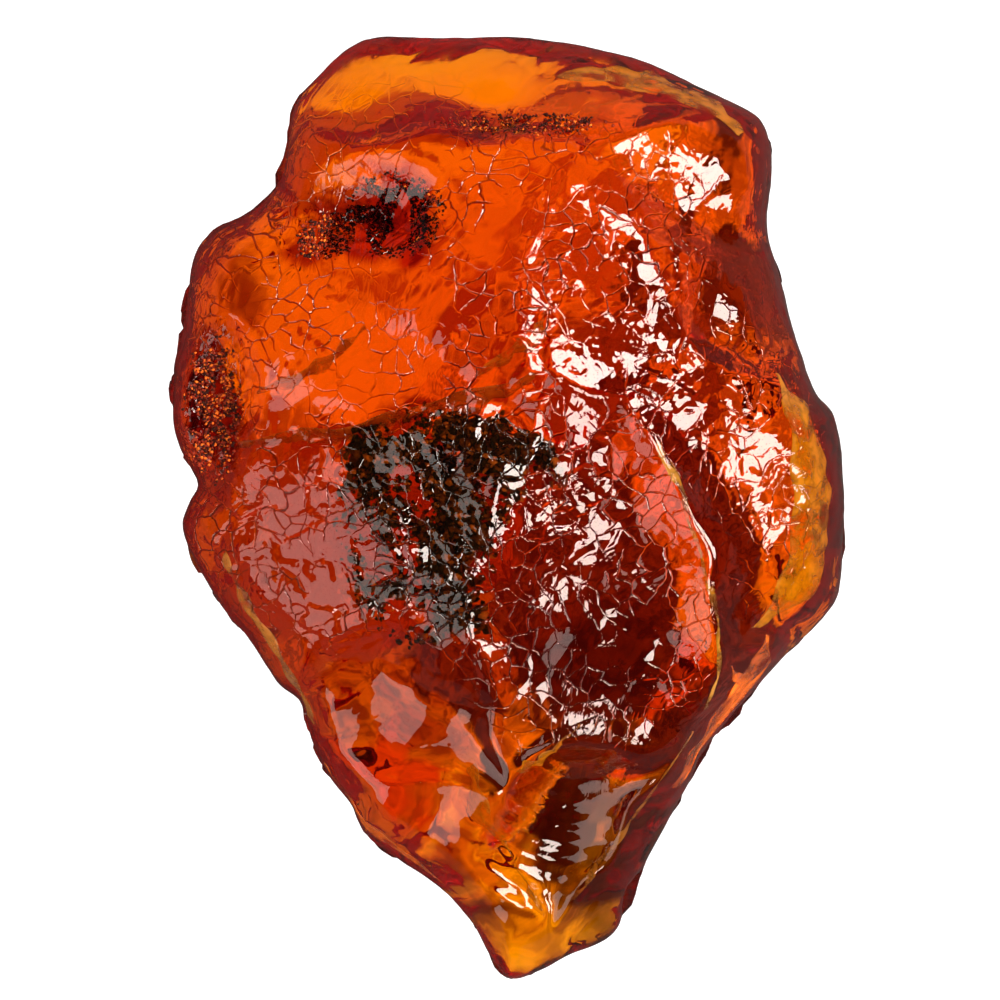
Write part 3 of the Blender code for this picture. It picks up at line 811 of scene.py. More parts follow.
def seen_from_above(points):
    """The plan places at which an eye straight above sees points of the under side.

    Where the upper side slopes by t, the sight line bends by t - asin(sin t / index)
    towards the rising side, so it lands beside its entry by the thickness times the
    tangent of that. The entry is found by stepping back from the landing point.
    """
    target = points[:, :2]
    entry = target.copy()
    for _ in range(BEND_ROUNDS):
        x, y = entry.T
        rise_x = upper_height(x + BEND_REACH, y) - upper_height(x - BEND_REACH, y)
        rise_y = upper_height(x, y + BEND_REACH) - upper_height(x, y - BEND_REACH)
        slope = np.column_stack([rise_x, rise_y]) / (2 * BEND_REACH)
        steepness = np.hypot(*slope.T).clip(1e-6)
        tilt = np.arctan(steepness.clip(0.0, STEEPEST))
        bend = tilt - np.arcsin(np.sin(tilt) / AMBER_IOR)
        thickness = upper_height(x, y) - points[:, 2]
        shift = slope * (thickness * np.tan(bend) / steepness)[:, None]
        entry = 0.5 * entry + 0.5 * (target - shift)
    return np.column_stack([entry, points[:, 2]])


def fan_streaks(points):
    """Colours of the streaks that run out from the fans' meeting points: painted shade
    between bright streaks that stand in for light that inner fractures mirror up from below.

    Noise is read by the angle round the meeting point, stretched far along the radius.
    """
    x, y = points[:, 0], points[:, 1]
    colours = np.ones((len(points), 3))
    for number, ((x0, y0), centre, half_axes) in enumerate(FANS.values()):
        radius = np.hypot(x - x0, y - y0)
        across = np.arctan2(y - y0, x - x0) * np.hypot(centre[0] - x0, centre[1] - y0)
        flow = np.column_stack([across, FAN_STRETCH * radius, 0 * x + 3.0 * number])
        flow += FAN_BEND * rough_noise(points, 1.4, 201)[:, None]
        dark = smooth_step(0.5 - 1.3 * rough_noise(flow, FAN_STREAK, 211, 3))
        share = ellipse_mask(x, y, centre, half_axes, edge=FAN_EDGE) * dark
        colours *= 1.0 - share[:, None] * (1.0 - np.array(FAN_PAINTED_SHADE))
    return colours


def mottle_strength(points):
    """How strongly the light from below is mottled: each area is laid over the last."""
    x, y = points[:, 0], points[:, 1]
    strength = np.zeros(len(points))
    for centre, half_axes, turn, most in MOTTLED.values():
        mask = ellipse_mask(x, y, centre, half_axes, turn, AREA_EDGE)
        strength = strength * (1.0 - mask) + most * mask
    return strength


def sheet_grid(cells_x, cells_y):
    """Spread (0 in the middle, 1 on the rim) and angle on a grid drawn onto a disc.

    The square with sides from -1 to 1 is mapped to the disc by a = u root(1 - v²/2),
    b = v root(1 - u²/2). The spread grows evenly with the disc's radius, and from
    CURL_START on it bends over as a parabola, which puts rows on the steep rim.
    """
    u, v = np.meshgrid(
        np.linspace(-1.0, 1.0, cells_x + 1), np.linspace(-1.0, 1.0, cells_y + 1)
    )
    a = u * np.sqrt(1.0 - v**2 / 2.0)
    b = v * np.sqrt(1.0 - u**2 / 2.0)
    radius = np.hypot(a, b).clip(0.0, 1.0)
    pace = 2.0 / (1.0 + CURL_START)
    curl = 1.0 - pace / (2.0 * (1.0 - CURL_START)) * (1.0 - radius) ** 2
    spread = np.where(radius < CURL_START, pace * radius, curl)
    return spread, np.arctan2(b, a)


def grid_normals(points, facing):
    """Unit normals of a grid of points, from the steps to their neighbours."""
    normal = np.cross(np.gradient(points, axis=1), np.gradient(points, axis=0)) * facing
    return normal / np.linalg.norm(normal, axis=2, keepdims=True).clip(1e-9)


def grid_triangles(ids, upward):
    """Two triangles for each cell of a grid of point numbers."""
    a = ids[:-1, :-1].ravel()
    b = ids[:-1, 1:].ravel()
    c = ids[1:, 1:].ravel()
    d = ids[1:, :-1].ravel()
    faces = np.concatenate([np.column_stack([a, b, c]), np.column_stack([a, c, d])])
    return faces if upward else faces[:, ::-1]


def strength_of(areas, points):
    """The strongest of the named areas at each point, 0 to 1, with faded edges."""
    x, y = points[:, 0], points[:, 1]
    strength = np.zeros(len(points))
    for centre, half_axes, most in areas.values():
        area = ellipse_mask(x, y, centre, half_axes, edge=AREA_EDGE)
        strength = np.maximum(strength, most * area)
    return strength


def craze_strength(points):
    """How strongly the skin is crazed, 0 to 1, from the named areas and some noise."""
    patchy = smooth_step(0.75 + 0.7 * rough_noise(points, CRAZE_PATCHES, 31))
    glassy = ellipse_mask(points[:, 0], points[:, 1], *GLASSY_SCAR, edge=GLASSY_EDGE)
    return strength_of(CRAZED_SKIN, points) * patchy * (1.0 - glassy)


def lumps(points, size, height, seed, octaves=4):
    """Worn lumps: rough noise of the given size and height."""
    return height * rough_noise(points, size, seed, octaves)


def groove(edge, depth, half_width):
    """A groove along the plates' borders: depth times e to the -(edge / half width)²."""
    return depth * np.exp(-((edge / half_width) ** 2))


def upper_relief(points):
    """Fine relief of the upper side, along its normal.

    The sum of worn lumps (rough noise), tilted plates with grooves between them where
    the skin is crazed, grains in the pits, and ripples in the hollows of fresh breaks.
    """
    x, y = points[:, 0], points[:, 1]
    bends = [rough_noise(points, 1.2, seed, 2) for seed in (11, 12, 13)]
    warped = points + PLATE_BEND * np.column_stack(bends)
    crumple = strength_of(CRUMPLED_SKIN, points)
    edge, tilt, draw = plates(warped, PLATE_SIZE, 5)
    small_edge, small_tilt, _ = plates(warped, SMALL_PLATE_SIZE, 6)
    skin = (PLATE_SLANT + CRUMPLED_SLANT * crumple) * tilt + PLATE_STEP * draw
    skin -= groove(edge, *PLATE_GROOVE) + groove(small_edge, *SMALL_GROOVE)
    relief = lumps(points, *WORN_LUMPS, 21) + craze_strength(points) * skin
    relief += crumple * SMALL_PLATE_SLANT * small_tilt
    relief += crumple * lumps(warped, *CRUMPLED_LUMPS, 27, 2)

    pits = np.minimum(pit_depth(UPPER_PITS, x, y), 1.0)
    edge, _, draw = plates(points, PIT_GRAIN_SIZE, 7)
    dome = PIT_GRAIN_DOME * np.minimum(edge, PIT_GRAIN_FLAT)
    relief += pits * (PIT_GRAIN_STEP * draw + dome)
    for scar, (x0, y0), high, wavelength in RIPPLES.values():
        ring = np.hypot(x - x0, y - y0)
        relief += ellipse_mask(x, y, *scar) * high * np.sin(2 * np.pi * ring / wavelength)
    for (x0, y0), width, deep in FLAKE_SCARS.values():
        away = np.hypot(x - x0, y - y0) / width
        relief -= deep * smooth_step(1.0 - away)
    return relief


def under_relief(points):
    """Fine relief of the under side: chips of two sizes, and worn lumps.

    It fades out just above the resting flat, which stays level.
    """
    edge, tilt, draw = plates(points, CHIP_SIZE, 15)
    _, small_tilt, _ = plates(points, SMALL_CHIP_SIZE, 16)
    relief = lumps(points, *UNDER_LUMPS, 25) + CHIP_SLANT * (tilt + small_tilt)
    relief += CHIP_STEP * draw - groove(edge, *CHIP_GROOVE)
    calm = ellipse_mask(points[:, 0], points[:, 1], *CALM_HEAD, edge=AREA_EDGE)
    return relief * smooth_step(points[:, 2] / FLAT_FADE) * (1.0 - CALM_SHARE * calm)


def stone_sheets():
    """The stone's upper and under sheets as grids of points, in millimetres.

    On both, the plan radius is the outline's reach times the spread. The upper sheet's
    height is rim + (top - rim) root(1 - spread^fullness), and the under sheet's is
    the same with the under faces. Both then move along their normals by the relief.
    """
    sheets = []
    for facing, cells in ((1, (CELLS_X, CELLS_Y)), (-1, (CELLS_X // 2, CELLS_Y // 2))):
        spread, angle = sheet_grid(*cells)
        x = reach(angle) * spread * np.cos(angle)
        y = reach(angle) * spread * np.sin(angle)
        rim = rim_height(angle)
        if facing > 0:
            curl = np.sqrt(1.0 - spread**UPPER_FULLNESS)
            z = rim + (upper_height(x, y) - rim) * curl
        else:
            curl = np.sqrt(1.0 - spread**UNDER_FULLNESS)
            z = np.maximum(rim + (under_height(x, y) - rim) * curl, 0.0)
        sheets.append(np.stack([x, y, z], axis=2))
    return sheets


def fit_to_box(points):
    """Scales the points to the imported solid's box. The resting flat stays at zero."""
    low = points.min(axis=0)
    high = points.max(axis=0)
    scale = (BOX_HIGH - BOX_LOW) / [*(high - low)[:2], high[2]]
    middle = np.array([*(low + high)[:2] / 2, 0.0])
    box_middle = np.array([*(BOX_LOW + BOX_HIGH)[:2] / 2, BOX_LOW[2]])
    return (points - middle) * scale + box_middle


def ring_of(ids):
    """The numbers round the outside of a grid of point numbers."""
    return np.concatenate([ids[0, :-1], ids[:-1, -1], ids[-1, :0:-1], ids[:0:-1, 0]])


def stone_layers(points, is_upper):
    """Light colours, skin strengths and the bent pattern place of each point.

    Stains of the under side, with the painted shade between the fans' streaks, are painted
    at the plan places where they are seen.
    """
    seen = np.where(is_upper[:, None], points, seen_from_above(points))
    heart = paint(seen, HEART_PATCHES) * fan_streaks(seen)
    tint = np.where(is_upper[:, None], paint(points, SKIN_PATCHES), heart)
    unworn = smooth_step((rough_noise(points, WORN_PATCHES, 91, 3) + 0.60) / 0.5)
    craze = craze_strength(points) * unworn
    pits = np.minimum(pit_depth(UPPER_PITS, points[:, 0], points[:, 1]), 1.0) * is_upper
    crumple = strength_of(CRUMPLED_SKIN, points) * is_upper
    lines = np.where(is_upper, craze, mottle_strength(seen))
    wander = np.column_stack([rough_noise(points, 1.9, seed, 3) for seed in (101, 111)])
    pattern = points.copy()
    pattern[:, :2] += PATTERN_WANDER * wander
    return {"tint": tint, "skin": np.column_stack([lines, pits, crumple]), "pattern": pattern}


def stone_mesh():
    """Points, triangles and layers of the stone, and which triangles are its under side.

    The upper sheet has twice the cells, so each edge of the under sheet on the rim
    meets two of its edges, and a thin triangle closes the gap.
    """
    upper, under = stone_sheets()
    size = upper.shape[:2]
    upper_ids = np.arange(size[0] * size[1]).reshape(size)
    under_ids = upper_ids[::2, ::2].copy()
    inner = under_ids[1:-1, 1:-1]
    inner[:] = size[0] * size[1] + np.arange(inner.size).reshape(inner.shape)

    upper_flat = upper.reshape(-1, 3)
    upper_normals = grid_normals(upper, 1).reshape(-1, 3)
    moved_upper = upper_flat + upper_normals * upper_relief(upper_flat)[:, None]
    under_flat = under[1:-1, 1:-1].reshape(-1, 3)
    under_normals = grid_normals(under, -1)[1:-1, 1:-1].reshape(-1, 3)
    moved_under = under_flat + under_normals * under_relief(under_flat)[:, None]
    moved_under[:, 2] = moved_under[:, 2].clip(0.0)
    points = fit_to_box(np.concatenate([moved_upper, moved_under]))

    ring = ring_of(upper_ids)
    gaps = np.column_stack([ring[::2], np.roll(ring, -2)[::2], ring[1::2]])
    sheets = [grid_triangles(upper_ids, True), grid_triangles(under_ids, False)]
    faces = np.concatenate([*sheets, gaps])
    is_under_face = np.arange(len(faces)) >= len(sheets[0])
    is_upper = np.arange(len(points)) < len(upper_flat)
    return points, faces, stone_layers(points, is_upper), is_under_face


def scatter(clouds, count, random):
    """Plan points drawn evenly inside each named ellipse, and which ellipse each is in."""
    places = []
    owners = []
    for number, (centre, half_axes, turn, share, *_) in enumerate(clouds.values()):
        amount = int(count * share)
        away = np.sqrt(random.uniform(0.0, 1.0, amount)) * random.uniform(0.75, 1.15, amount)
        around = random.uniform(0.0, 2 * np.pi, amount)
        across = half_axes[0] * away * np.cos(around)
        along = half_axes[1] * away * np.sin(around)
        angle = math.radians(turn)
        x = centre[0] + across * math.cos(angle) - along * math.sin(angle)
        y = centre[1] + across * math.sin(angle) + along * math.cos(angle)
        places.append(np.column_stack([x, y]))
        owners.append(np.full(amount, number))
    return np.concatenate(places), np.concatenate(owners)


def rotated(vectors, angle, first, second):
    """Vectors turned from the first axis towards the second, by one angle per chip.

    The first part becomes a cos - b sin, and the second a sin + b cos.
    """
    a, b = vectors[..., first], vectors[..., second]
    cosine, sine = np.cos(angle)[:, None], np.sin(angle)[:, None]
    result = vectors.copy()
    result[..., first] = a * cosine - b * sine
    result[..., second] = a * sine + b * cosine
    return result


def turned(vectors, tilt, around, spin):
    """Vectors spun about z, tipped over by the tilt, and turned about z again."""
    spun = rotated(vectors, spin, 0, 1)
    tipped = rotated(spun, tilt, 1, 2)
    return rotated(tipped, around, 0, 1)


def chips(middles, sizes, flatness, tilts, random, sides):
    """Closed chips: a ring of points at uneven distances, and a point above and below.

    Ring point k lies near the direction 2 pi k / sides, at 0.6 to 1.3 times the size,
    and the two poles are at plus and minus the size times the flatness.
    """
    count = len(middles)
    angle = 2 * np.pi * (np.arange(sides) + random.uniform(-0.3, 0.3, (count, sides))) / sides
    radius = random.uniform(0.6, 1.3, (count, sides))
    ring = np.stack([radius * np.cos(angle), radius * np.sin(angle), 0 * angle], axis=2)
    poles = np.zeros((count, 2, 3))
    poles[:, 0, 2] = flatness
    poles[:, 1, 2] = -flatness
    shape = np.concatenate([ring, poles], axis=1) * sizes[:, None, None]
    full_turn = random.uniform(0.0, 2 * np.pi, (2, count))
    shape = turned(shape, tilts, full_turn[0], full_turn[1]) + middles[:, None]
    here = np.arange(sides)
    there = (here + 1) % sides
    upper = np.column_stack([here, there, np.full(sides, sides)])
    lower = np.column_stack([there, here, np.full(sides, sides + 1)])
    one = np.concatenate([upper, lower])
    faces = one[None] + (sides + 2) * np.arange(count)[:, None, None]
    return shape.reshape(-1, 3), faces.reshape(-1, 3)


def chip_colours(colours, shares, count, sides, random):
    """A colour drawn for each chip by its share, repeated for the chip's points."""
    chosen = random.choice(len(colours), size=count, p=shares)
    return np.repeat(np.array(colours)[chosen], sides + 2, axis=0)


def debris_mesh(count):
    """Flakes of plant matter sealed in the amber, under the upper faces."""
    random = np.random.default_rng(40)
    plan, owner = scatter(DEBRIS_CLOUDS, count, random)
    least, most = np.array([cloud[4] for cloud in DEBRIS_CLOUDS.values()])[owner].T
    depth = least + (most - least) * random.uniform(0, 1, len(plan)) ** 1.5
    middles = np.column_stack([plan, upper_height(*plan.T) - depth])
    clump = rough_noise(middles, DEBRIS_CLUMPS, 44, 3)
    kept = clump > CLUMP_FLOOR
    middles, clump = middles[kept], clump[kept]
    amount = len(middles)
    sizes = random.uniform(*DEBRIS_SIZES, amount) * (1.0 + 1.1 * clump.clip(0.0))
    tilts = random.uniform(0.0, 0.9, amount)
    points, faces = chips(middles, sizes, DEBRIS_FLATNESS, tilts, random, DEBRIS_SIDES)
    colours = chip_colours(DEBRIS_COLOURS, DEBRIS_SHARES, amount, DEBRIS_SIDES, random)
    return points, faces, colours


def crust_mesh(count):
    """Grains caked onto the pit floors and the head's ledge, sunk into the surface."""
    random = np.random.default_rng(50)
    plan, _ = scatter(CRUST_BEDS, count, random)
    sizes = random.uniform(*CRUST_SIZES, len(plan))
    middles = np.column_stack([plan, upper_height(*plan.T) - CRUST_SINK])
    kept = noise(middles, CRUST_CLUMPS, 54) > CRUST_FLOOR
    middles, sizes = middles[kept], sizes[kept]
    tilts = random.uniform(0.0, 1.2, len(middles))
    points, faces = chips(middles, sizes, CRUST_FLATNESS, tilts, random, CRUST_SIDES)
    colours = chip_colours(CRUST_COLOURS, CRUST_SHARES, len(middles), CRUST_SIDES, random)
    return points, faces, colours


def kept_inside(x, y, z):
    """Draws points in to the deepest spread that films may reach, and under the skin.

    The skin there is rim + (top - rim) root(1 - spread^fullness), as on the stone.
    """
    angle = np.arctan2(y, x)
    radius = np.hypot(x, y)
    edge = FILM_SPREAD * reach(angle)
    inward = np.minimum(1.0, edge / radius.clip(1e-6))
    x, y = x * inward, y * inward
    spread = np.minimum(radius, edge) / reach(angle)
    rim = rim_height(angle)
    skin = rim + (upper_height(x, y) - rim) * np.sqrt(1.0 - spread**UPPER_FULLNESS)
    return x, y, np.minimum(z, skin - FILM_COVER)


def film_front(route, depth, lean, number):
    """The front of one film as a grid of points, and its thickness there.

    Along the top it follows a smooth curve through the route's points. It goes down to
    its depth with a lean and a wave, and its lower edge is ragged. The thickness falls
    to nearly nothing at all four edges.
    """
    t = np.linspace(0.0, len(route) - 1.0, CRACK_STEPS)
    corners = np.arange(len(route))
    soft = np.ones(FILM_SOFTENING) / FILM_SOFTENING
    x, y = (
        np.convolve(
            np.pad(np.interp(t, corners, line), FILM_SOFTENING // 2, "edge"), soft, "valid"
        )
        for line in np.array(route).T
    )
    along = t / t[-1]
    down = np.linspace(0.0, 1.0, CRACK_ROWS)[:, None]
    ragged = 0.75 + 0.25 * noise(np.column_stack([x, y, 0 * x + number]), 1.1, 64)
    deepest = depth * ragged * np.sqrt(np.sin(np.pi * along).clip(0.02))
    sink = FILM_COVER + down * deepest
    film_x = x + lean[0] * sink + FILM_WAVE * np.sin(30.0 * along + 3 * down)
    film_y = y + lean[1] * sink + FILM_WAVE * np.cos(24.0 * along + 2 * down)
    film_z = upper_height(film_x, film_y) - sink
    thick = FILM_THICK * np.sin(np.pi * along) * np.sin(np.pi * down.clip(0.02, 0.98))
    front = np.stack(kept_inside(film_x, film_y, film_z), axis=2)
    return front, thick[..., None].clip(FILM_THIN)


def crack_and_glow_mesh():
    """Thin closed films that run down from just under the upper faces: the stained cracks,
    and the bright films of painted light.
    """
    all_points, all_faces, all_colours, first = [], [], [], 0
    for number, (route, depth, lean, colour) in enumerate(CRACKS_AND_GLOWS.values()):
        front, thick = film_front(route, depth, lean, number)
        back = front - grid_normals(front, 1) * thick
        ids = first + np.arange(thick.size).reshape(thick.shape[:2])
        behind = ids + ids.size
        loop = ring_of(ids)
        after = np.roll(loop, -1)
        all_points += [front.reshape(-1, 3), back.reshape(-1, 3)]
        all_faces += [
            grid_triangles(ids, True),
            grid_triangles(behind, False),
            np.column_stack([after, loop, loop + ids.size]),
            np.column_stack([after, loop + ids.size, after + ids.size]),
        ]
        all_colours.append(np.tile(colour, (2 * ids.size, 1)))
        first += 2 * ids.size
    return np.concatenate(all_points), np.concatenate(all_faces), np.concatenate(all_colours)


def add_layer(mesh, name, values):
    """Stores one colour per point, with full alpha."""
    rgba = np.ones((len(values), 4), np.float32)
    rgba[:, :3] = values
    layer = mesh.attributes.new(name, "FLOAT_COLOR", "POINT")
    layer.data.foreach_set("color", rgba.ravel())


def add_piece(name, points, faces, materials, colours=None, material_numbers=None):
    """Makes a mesh object at the origin from points in millimetres."""
    mesh = bpy.data.meshes.new(name)
    mesh.from_pydata(points * MM, [], faces)
    for layer, values in (colours or {}).items():
        add_layer(mesh, layer, values)
    for material in materials:
        mesh.materials.append(material)
    if material_numbers is not None:
        mesh.polygons.foreach_set("material_index", material_numbers.astype(np.int32))
    mesh.shade_smooth()
    mesh.update()
    piece = bpy.data.objects.new(name, mesh)
    bpy.context.scene.collection.objects.link(piece)
    return piece


def node_adder(tree):
    """A short way to add a node to the tree, with its inputs set or linked."""
    def add(kind, inputs=None, **settings):
        node = tree.nodes.new("ShaderNode" + kind)
        for key, value in settings.items():
            setattr(node, key, value)
        for key, value in (inputs or {}).items():
            if isinstance(value, bpy.types.NodeSocket):
                tree.links.new(value, node.inputs[key])
            else:
                node.inputs[key].default_value = value
        return node

    return add


def new_material(name):
    """A material with its node tree, its shader and a short way to add nodes."""
    material = bpy.data.materials.new(name)
    material.use_nodes = True
    tree = material.node_tree
    return material, tree, tree.nodes["Principled BSDF"], node_adder(tree)


def calc(add, operation, *values):
    """The result of a math node."""
    return add("Math", dict(enumerate(values)), operation=operation).outputs[0]


def fine_noise(add, scale, detail, roughness=0.5):
    """Noise in the object's own coordinates, with the scale in waves per metre."""
    inputs = {"Vector": add("TexCoord").outputs["Object"], "Scale": scale}
    inputs.update({"Detail": detail, "Roughness": roughness})
    return add("TexNoise", inputs).outputs["Fac"]


def layer(add, name, output="Color"):
    """The values that a piece's points carry under the given name."""
    return add("Attribute", attribute_name=name).outputs[output]


def mix_colour(add, blend, factor, a, b):
    """The result of a colour mix node."""
    node = add("MixRGB", {"Fac": factor, "Color1": a, "Color2": b}, blend_type=blend)
    return node.outputs[0]


def value_range(add, value, low, high, out_low, out_high, kind="LINEAR"):
    """The value carried from one range to another, and held at the ends."""
    node = add(
        "MapRange",
        {0: value, 1: low, 2: high, 3: out_low, 4: out_high},
        interpolation_type=kind,
    )
    return node.outputs[0]


def clear_amber(settings, name):
    """A material with the amber's plain transmission, IOR and absorption."""
    material, tree, shader, add = new_material(name)
    shader.inputs["Transmission Weight"].default_value = 1.0
    shader.inputs["IOR"].default_value = settings.ior
    absorption = add("VolumeAbsorption")
    absorption.inputs["Color"].default_value = (*settings.absorption_colour, 1.0)
    absorption.inputs["Density"].default_value = settings.absorption_density
    tree.links.new(absorption.outputs[0], tree.nodes["Material Output"].inputs["Volume"])
    return material, tree, shader, add


def amber_skin_material(settings):
    """The upper side: a crazed and worn skin on clear amber.

    The crazing is the borders of random cells in the pattern's bent coordinates. A
    crack darkens the light that crosses it, is rougher, and is a groove in the bump.
    """
    material, tree, shader, add = clear_amber(settings, "amber_skin")
    craze, pits, crumple = add("SeparateColor", {0: layer(add, "skin")}).outputs

    # The pattern's coordinates are millimetres, and the settings are metres
    cells = add(
        "TexVoronoi",
        {"Vector": layer(add, "pattern", "Vector"), "Scale": MM / settings.craze_cell},
        feature="DISTANCE_TO_EDGE",
        voronoi_dimensions="2D",
    )
    width = CRACK_WIDTH / settings.craze_cell
    line = value_range(add, cells.outputs["Distance"], 0.0, width, 1.0, 0.0, "SMOOTHSTEP")
    cracks = calc(add, "MULTIPLY", line, craze)

    fine = fine_noise(add, SKIN_GRAIN_SCALE, 1.0, 0.6)
    grain = value_range(add, fine, 0.38, 0.58, 0.10, 1.0)
    shade = calc(add, "MAXIMUM", grain, calc(add, "SUBTRACT", 1.0, pits))
    shaded = mix_colour(add, "MIX", shade, PIT_STAIN, WHITE)
    tinted = mix_colour(add, "MULTIPLY", 1.0, layer(add, "tint"), shaded)
    lined = mix_colour(add, "MIX", cracks, tinted, CRACK_STAIN)
    tree.links.new(lined, shader.inputs["Base Color"])

    crack_dullness = calc(add, "MULTIPLY", cracks, 0.08)
    dull = calc(add, "ADD", crack_dullness, calc(add, "MULTIPLY", pits, 0.06))
    roughness = calc(add, "ADD", dull, value_range(add, fine, 0.35, 0.7, 0.0, 0.04))
    tree.links.new(roughness, shader.inputs["Roughness"])

    bumpiness = calc(add, "ADD", calc(add, "MULTIPLY", crumple, 1.1), 0.04)
    grooves = calc(add, "MULTIPLY", cracks, 0.9)
    height = calc(add, "SUBTRACT", calc(add, "MULTIPLY", fine, bumpiness), grooves)
    bump = add(
        "Bump", {"Strength": 1.0, "Distance": settings.craze_depth, "Height": height}
    )
    tree.links.new(bump.outputs[0], shader.inputs["Normal"])
    return material


def amber_under_material(settings):
    """The under side: worn, with streaks of darker resin just inside."""
    material, tree, shader, add = clear_amber(settings, "amber_under")
    strength = add("SeparateColor", {0: layer(add, "skin")}).outputs[0]
    streaks = fine_noise(add, STREAK_SCALE, 2.0, 0.75)
    dark = value_range(add, streaks, 0.42, 0.60, 1.0, 0.0)
    share = calc(add, "MULTIPLY", dark, strength)
    streaked = mix_colour(add, "MIX", share, WHITE, STREAK_STAIN)
    tinted = mix_colour(add, "MULTIPLY", 1.0, layer(add, "tint"), streaked)
    tree.links.new(tinted, shader.inputs["Base Color"])
    roughness = value_range(add, streaks, 0.3, 0.7, 0.22, 0.04)
    tree.links.new(roughness, shader.inputs["Roughness"])
    return material


def grain_material(name, roughness):
    """Matt plant matter or crust: a colour per piece, mottled, with a gritty bump."""
    material, tree, shader, add = new_material(name)
    grit = fine_noise(add, GRIT_SCALE, 2.0)
    shade = value_range(add, grit, 0.3, 0.7, 0.5, 1.5)
    mottled = mix_colour(add, "MULTIPLY", 1.0, layer(add, "colour"), shade)
    tree.links.new(mottled, shader.inputs["Base Color"])
    bump = add("Bump", {"Strength": 0.6, "Distance": GRIT_DEPTH, "Height": grit})
    tree.links.new(bump.outputs[0], shader.inputs["Normal"])
    shader.inputs["Roughness"].default_value = roughness
    shader.inputs["Specular IOR Level"].default_value = 0.12
    return material


def crack_and_glow_material():
    """A film inside the stone, for the stained cracks and the bright films of painted light:
    ragged and see-through, in its own colour where it is seen.
    """
    material, tree, shader, add = new_material("stain_and_glow_film")
    stain = fine_noise(add, STAIN_SCALE, 3.0)
    shade = value_range(add, stain, 0.3, 0.7, 0.5, 1.3)
    stained = mix_colour(add, "MULTIPLY", 1.0, layer(add, "colour"), shade)
    tree.links.new(stained, shader.inputs["Base Color"])
    shader.inputs["Roughness"].default_value = 0.25
    gaps = value_range(add, stain, 0.36, 0.60, 0.10, 0.80)
    tree.links.new(gaps, shader.inputs["Alpha"])
    return material


class AmberSettings(PropertyGroup):
    """Sizes and colours of the nugget and its stage."""

    absorption_colour: FloatVectorProperty(
        name="Clear colour",
        description="Colour that white light keeps in the amber; the rest is absorbed",
        subtype="COLOR",
        size=3,
        min=0.0,
        max=1.0,
        default=(0.99, 0.905, 0.0),
    )
    absorption_density: FloatProperty(
        name="Absorption",
        description="How quickly the amber absorbs light, per metre",
        default=1200.0,
        min=0.0,
    )
    ior: FloatProperty(
        name="Index of refraction",
        description="How strongly the amber bends light",
        default=AMBER_IOR,
        min=1.0,
        max=3.0,
    )
    craze_cell: FloatProperty(
        name="Crazing cell",
        description="Width of a cell of the finest crazing that shows from a step away",
        subtype="DISTANCE",
        unit="LENGTH",
        default=0.00120,
        min=0.0002,
    )
    craze_depth: FloatProperty(
        name="Crazing depth",
        description="Depth of the grooves between the crazed cells",
        subtype="DISTANCE",
        unit="LENGTH",
        default=0.00006,
        min=0.0,
    )
    debris_count: IntProperty(
        name="Debris flakes",
        description="How many flakes of plant debris are scattered inside the stone",
        default=12000,
        min=0,
    )
    crust_count: IntProperty(
        name="Crust grains",
        description="How many grains are scattered on the pit floors and the ledge",
        default=5200,
        min=0,
    )
    softbox_radiance: FloatProperty(
        name="Softbox",
        description="Radiance of the main softbox on the right",
        default=22.0,
        min=0.0,
    )
    floor_glow: FloatProperty(
        name="Floor glow",
        description="Radiance of the lit white floor",
        default=1.35,
        min=0.0,
    )
    lens: FloatProperty(
        name="Lens",
        description="Focal length of the camera, in millimetres",
        default=180.0,
        min=20.0,
    )


class AMBER_OT_stone(Operator):
    """Build the clear stone with its crazed skin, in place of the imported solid"""

    bl_idname = "amber.stone"
    bl_label = "Stone"

    def execute(self, context):
        settings = context.scene.amber_nugget
        points, faces, layers, is_under = stone_mesh()
        stone = add_piece(
            "amber_stone",
            points,
            faces,
            [amber_skin_material(settings), amber_under_material(settings)],
            layers,
            is_under,
        )
        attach(stone, "root")
        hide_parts("amber")
        return {"FINISHED"}


class AMBER_OT_debris(Operator):
    """Scatter the dark plant debris that is sealed in the stone"""

    bl_idname = "amber.debris"
    bl_label = "Plant debris"

    def execute(self, context):
        count = context.scene.amber_nugget.debris_count
        points, faces, colours = debris_mesh(count)
        material = grain_material("plant_debris", 0.75)
        debris = add_piece("plant_debris", points, faces, [material], {"colour": colours})
        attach(debris, "root")
        return {"FINISHED"}


class AMBER_OT_crust(Operator):
    """Cake the crust's grains onto the pit floors and the head's ledge"""

    bl_idname = "amber.crust"
    bl_label = "Pit crust"

    def execute(self, context):
        count = context.scene.amber_nugget.crust_count
        points, faces, colours = crust_mesh(count)
        material = grain_material("pit_crust", 0.6)
        crust = add_piece("pit_crust", points, faces, [material], {"colour": colours})
        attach(crust, "root")
        return {"FINISHED"}


class AMBER_OT_cracks_and_glow_films(Operator):
    """Add the stained films of the old cracks that run down into the stone, and the bright
    films of painted light
    """

    bl_idname = "amber.inner_cracks"
    bl_label = "Inner cracks"

    def execute(self, context):
        points, faces, colours = crack_and_glow_mesh()
        cracks = add_piece(
            "inner_cracks", points, faces, [crack_and_glow_material()], {"colour": colours}
        )
        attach(cracks, "root")
        return {"FINISHED"}


# The stage, in metres: the floor, and the camera's frame on the height of the rim
FLOOR_HALF = 1.5
FLOOR_DROP = 0.00005
FRAME_WIDTH = 0.0635
FRAME_CENTRE = (-0.00051, 0.00054)
RIM_PLANE = 0.0072
SENSOR = 0.036

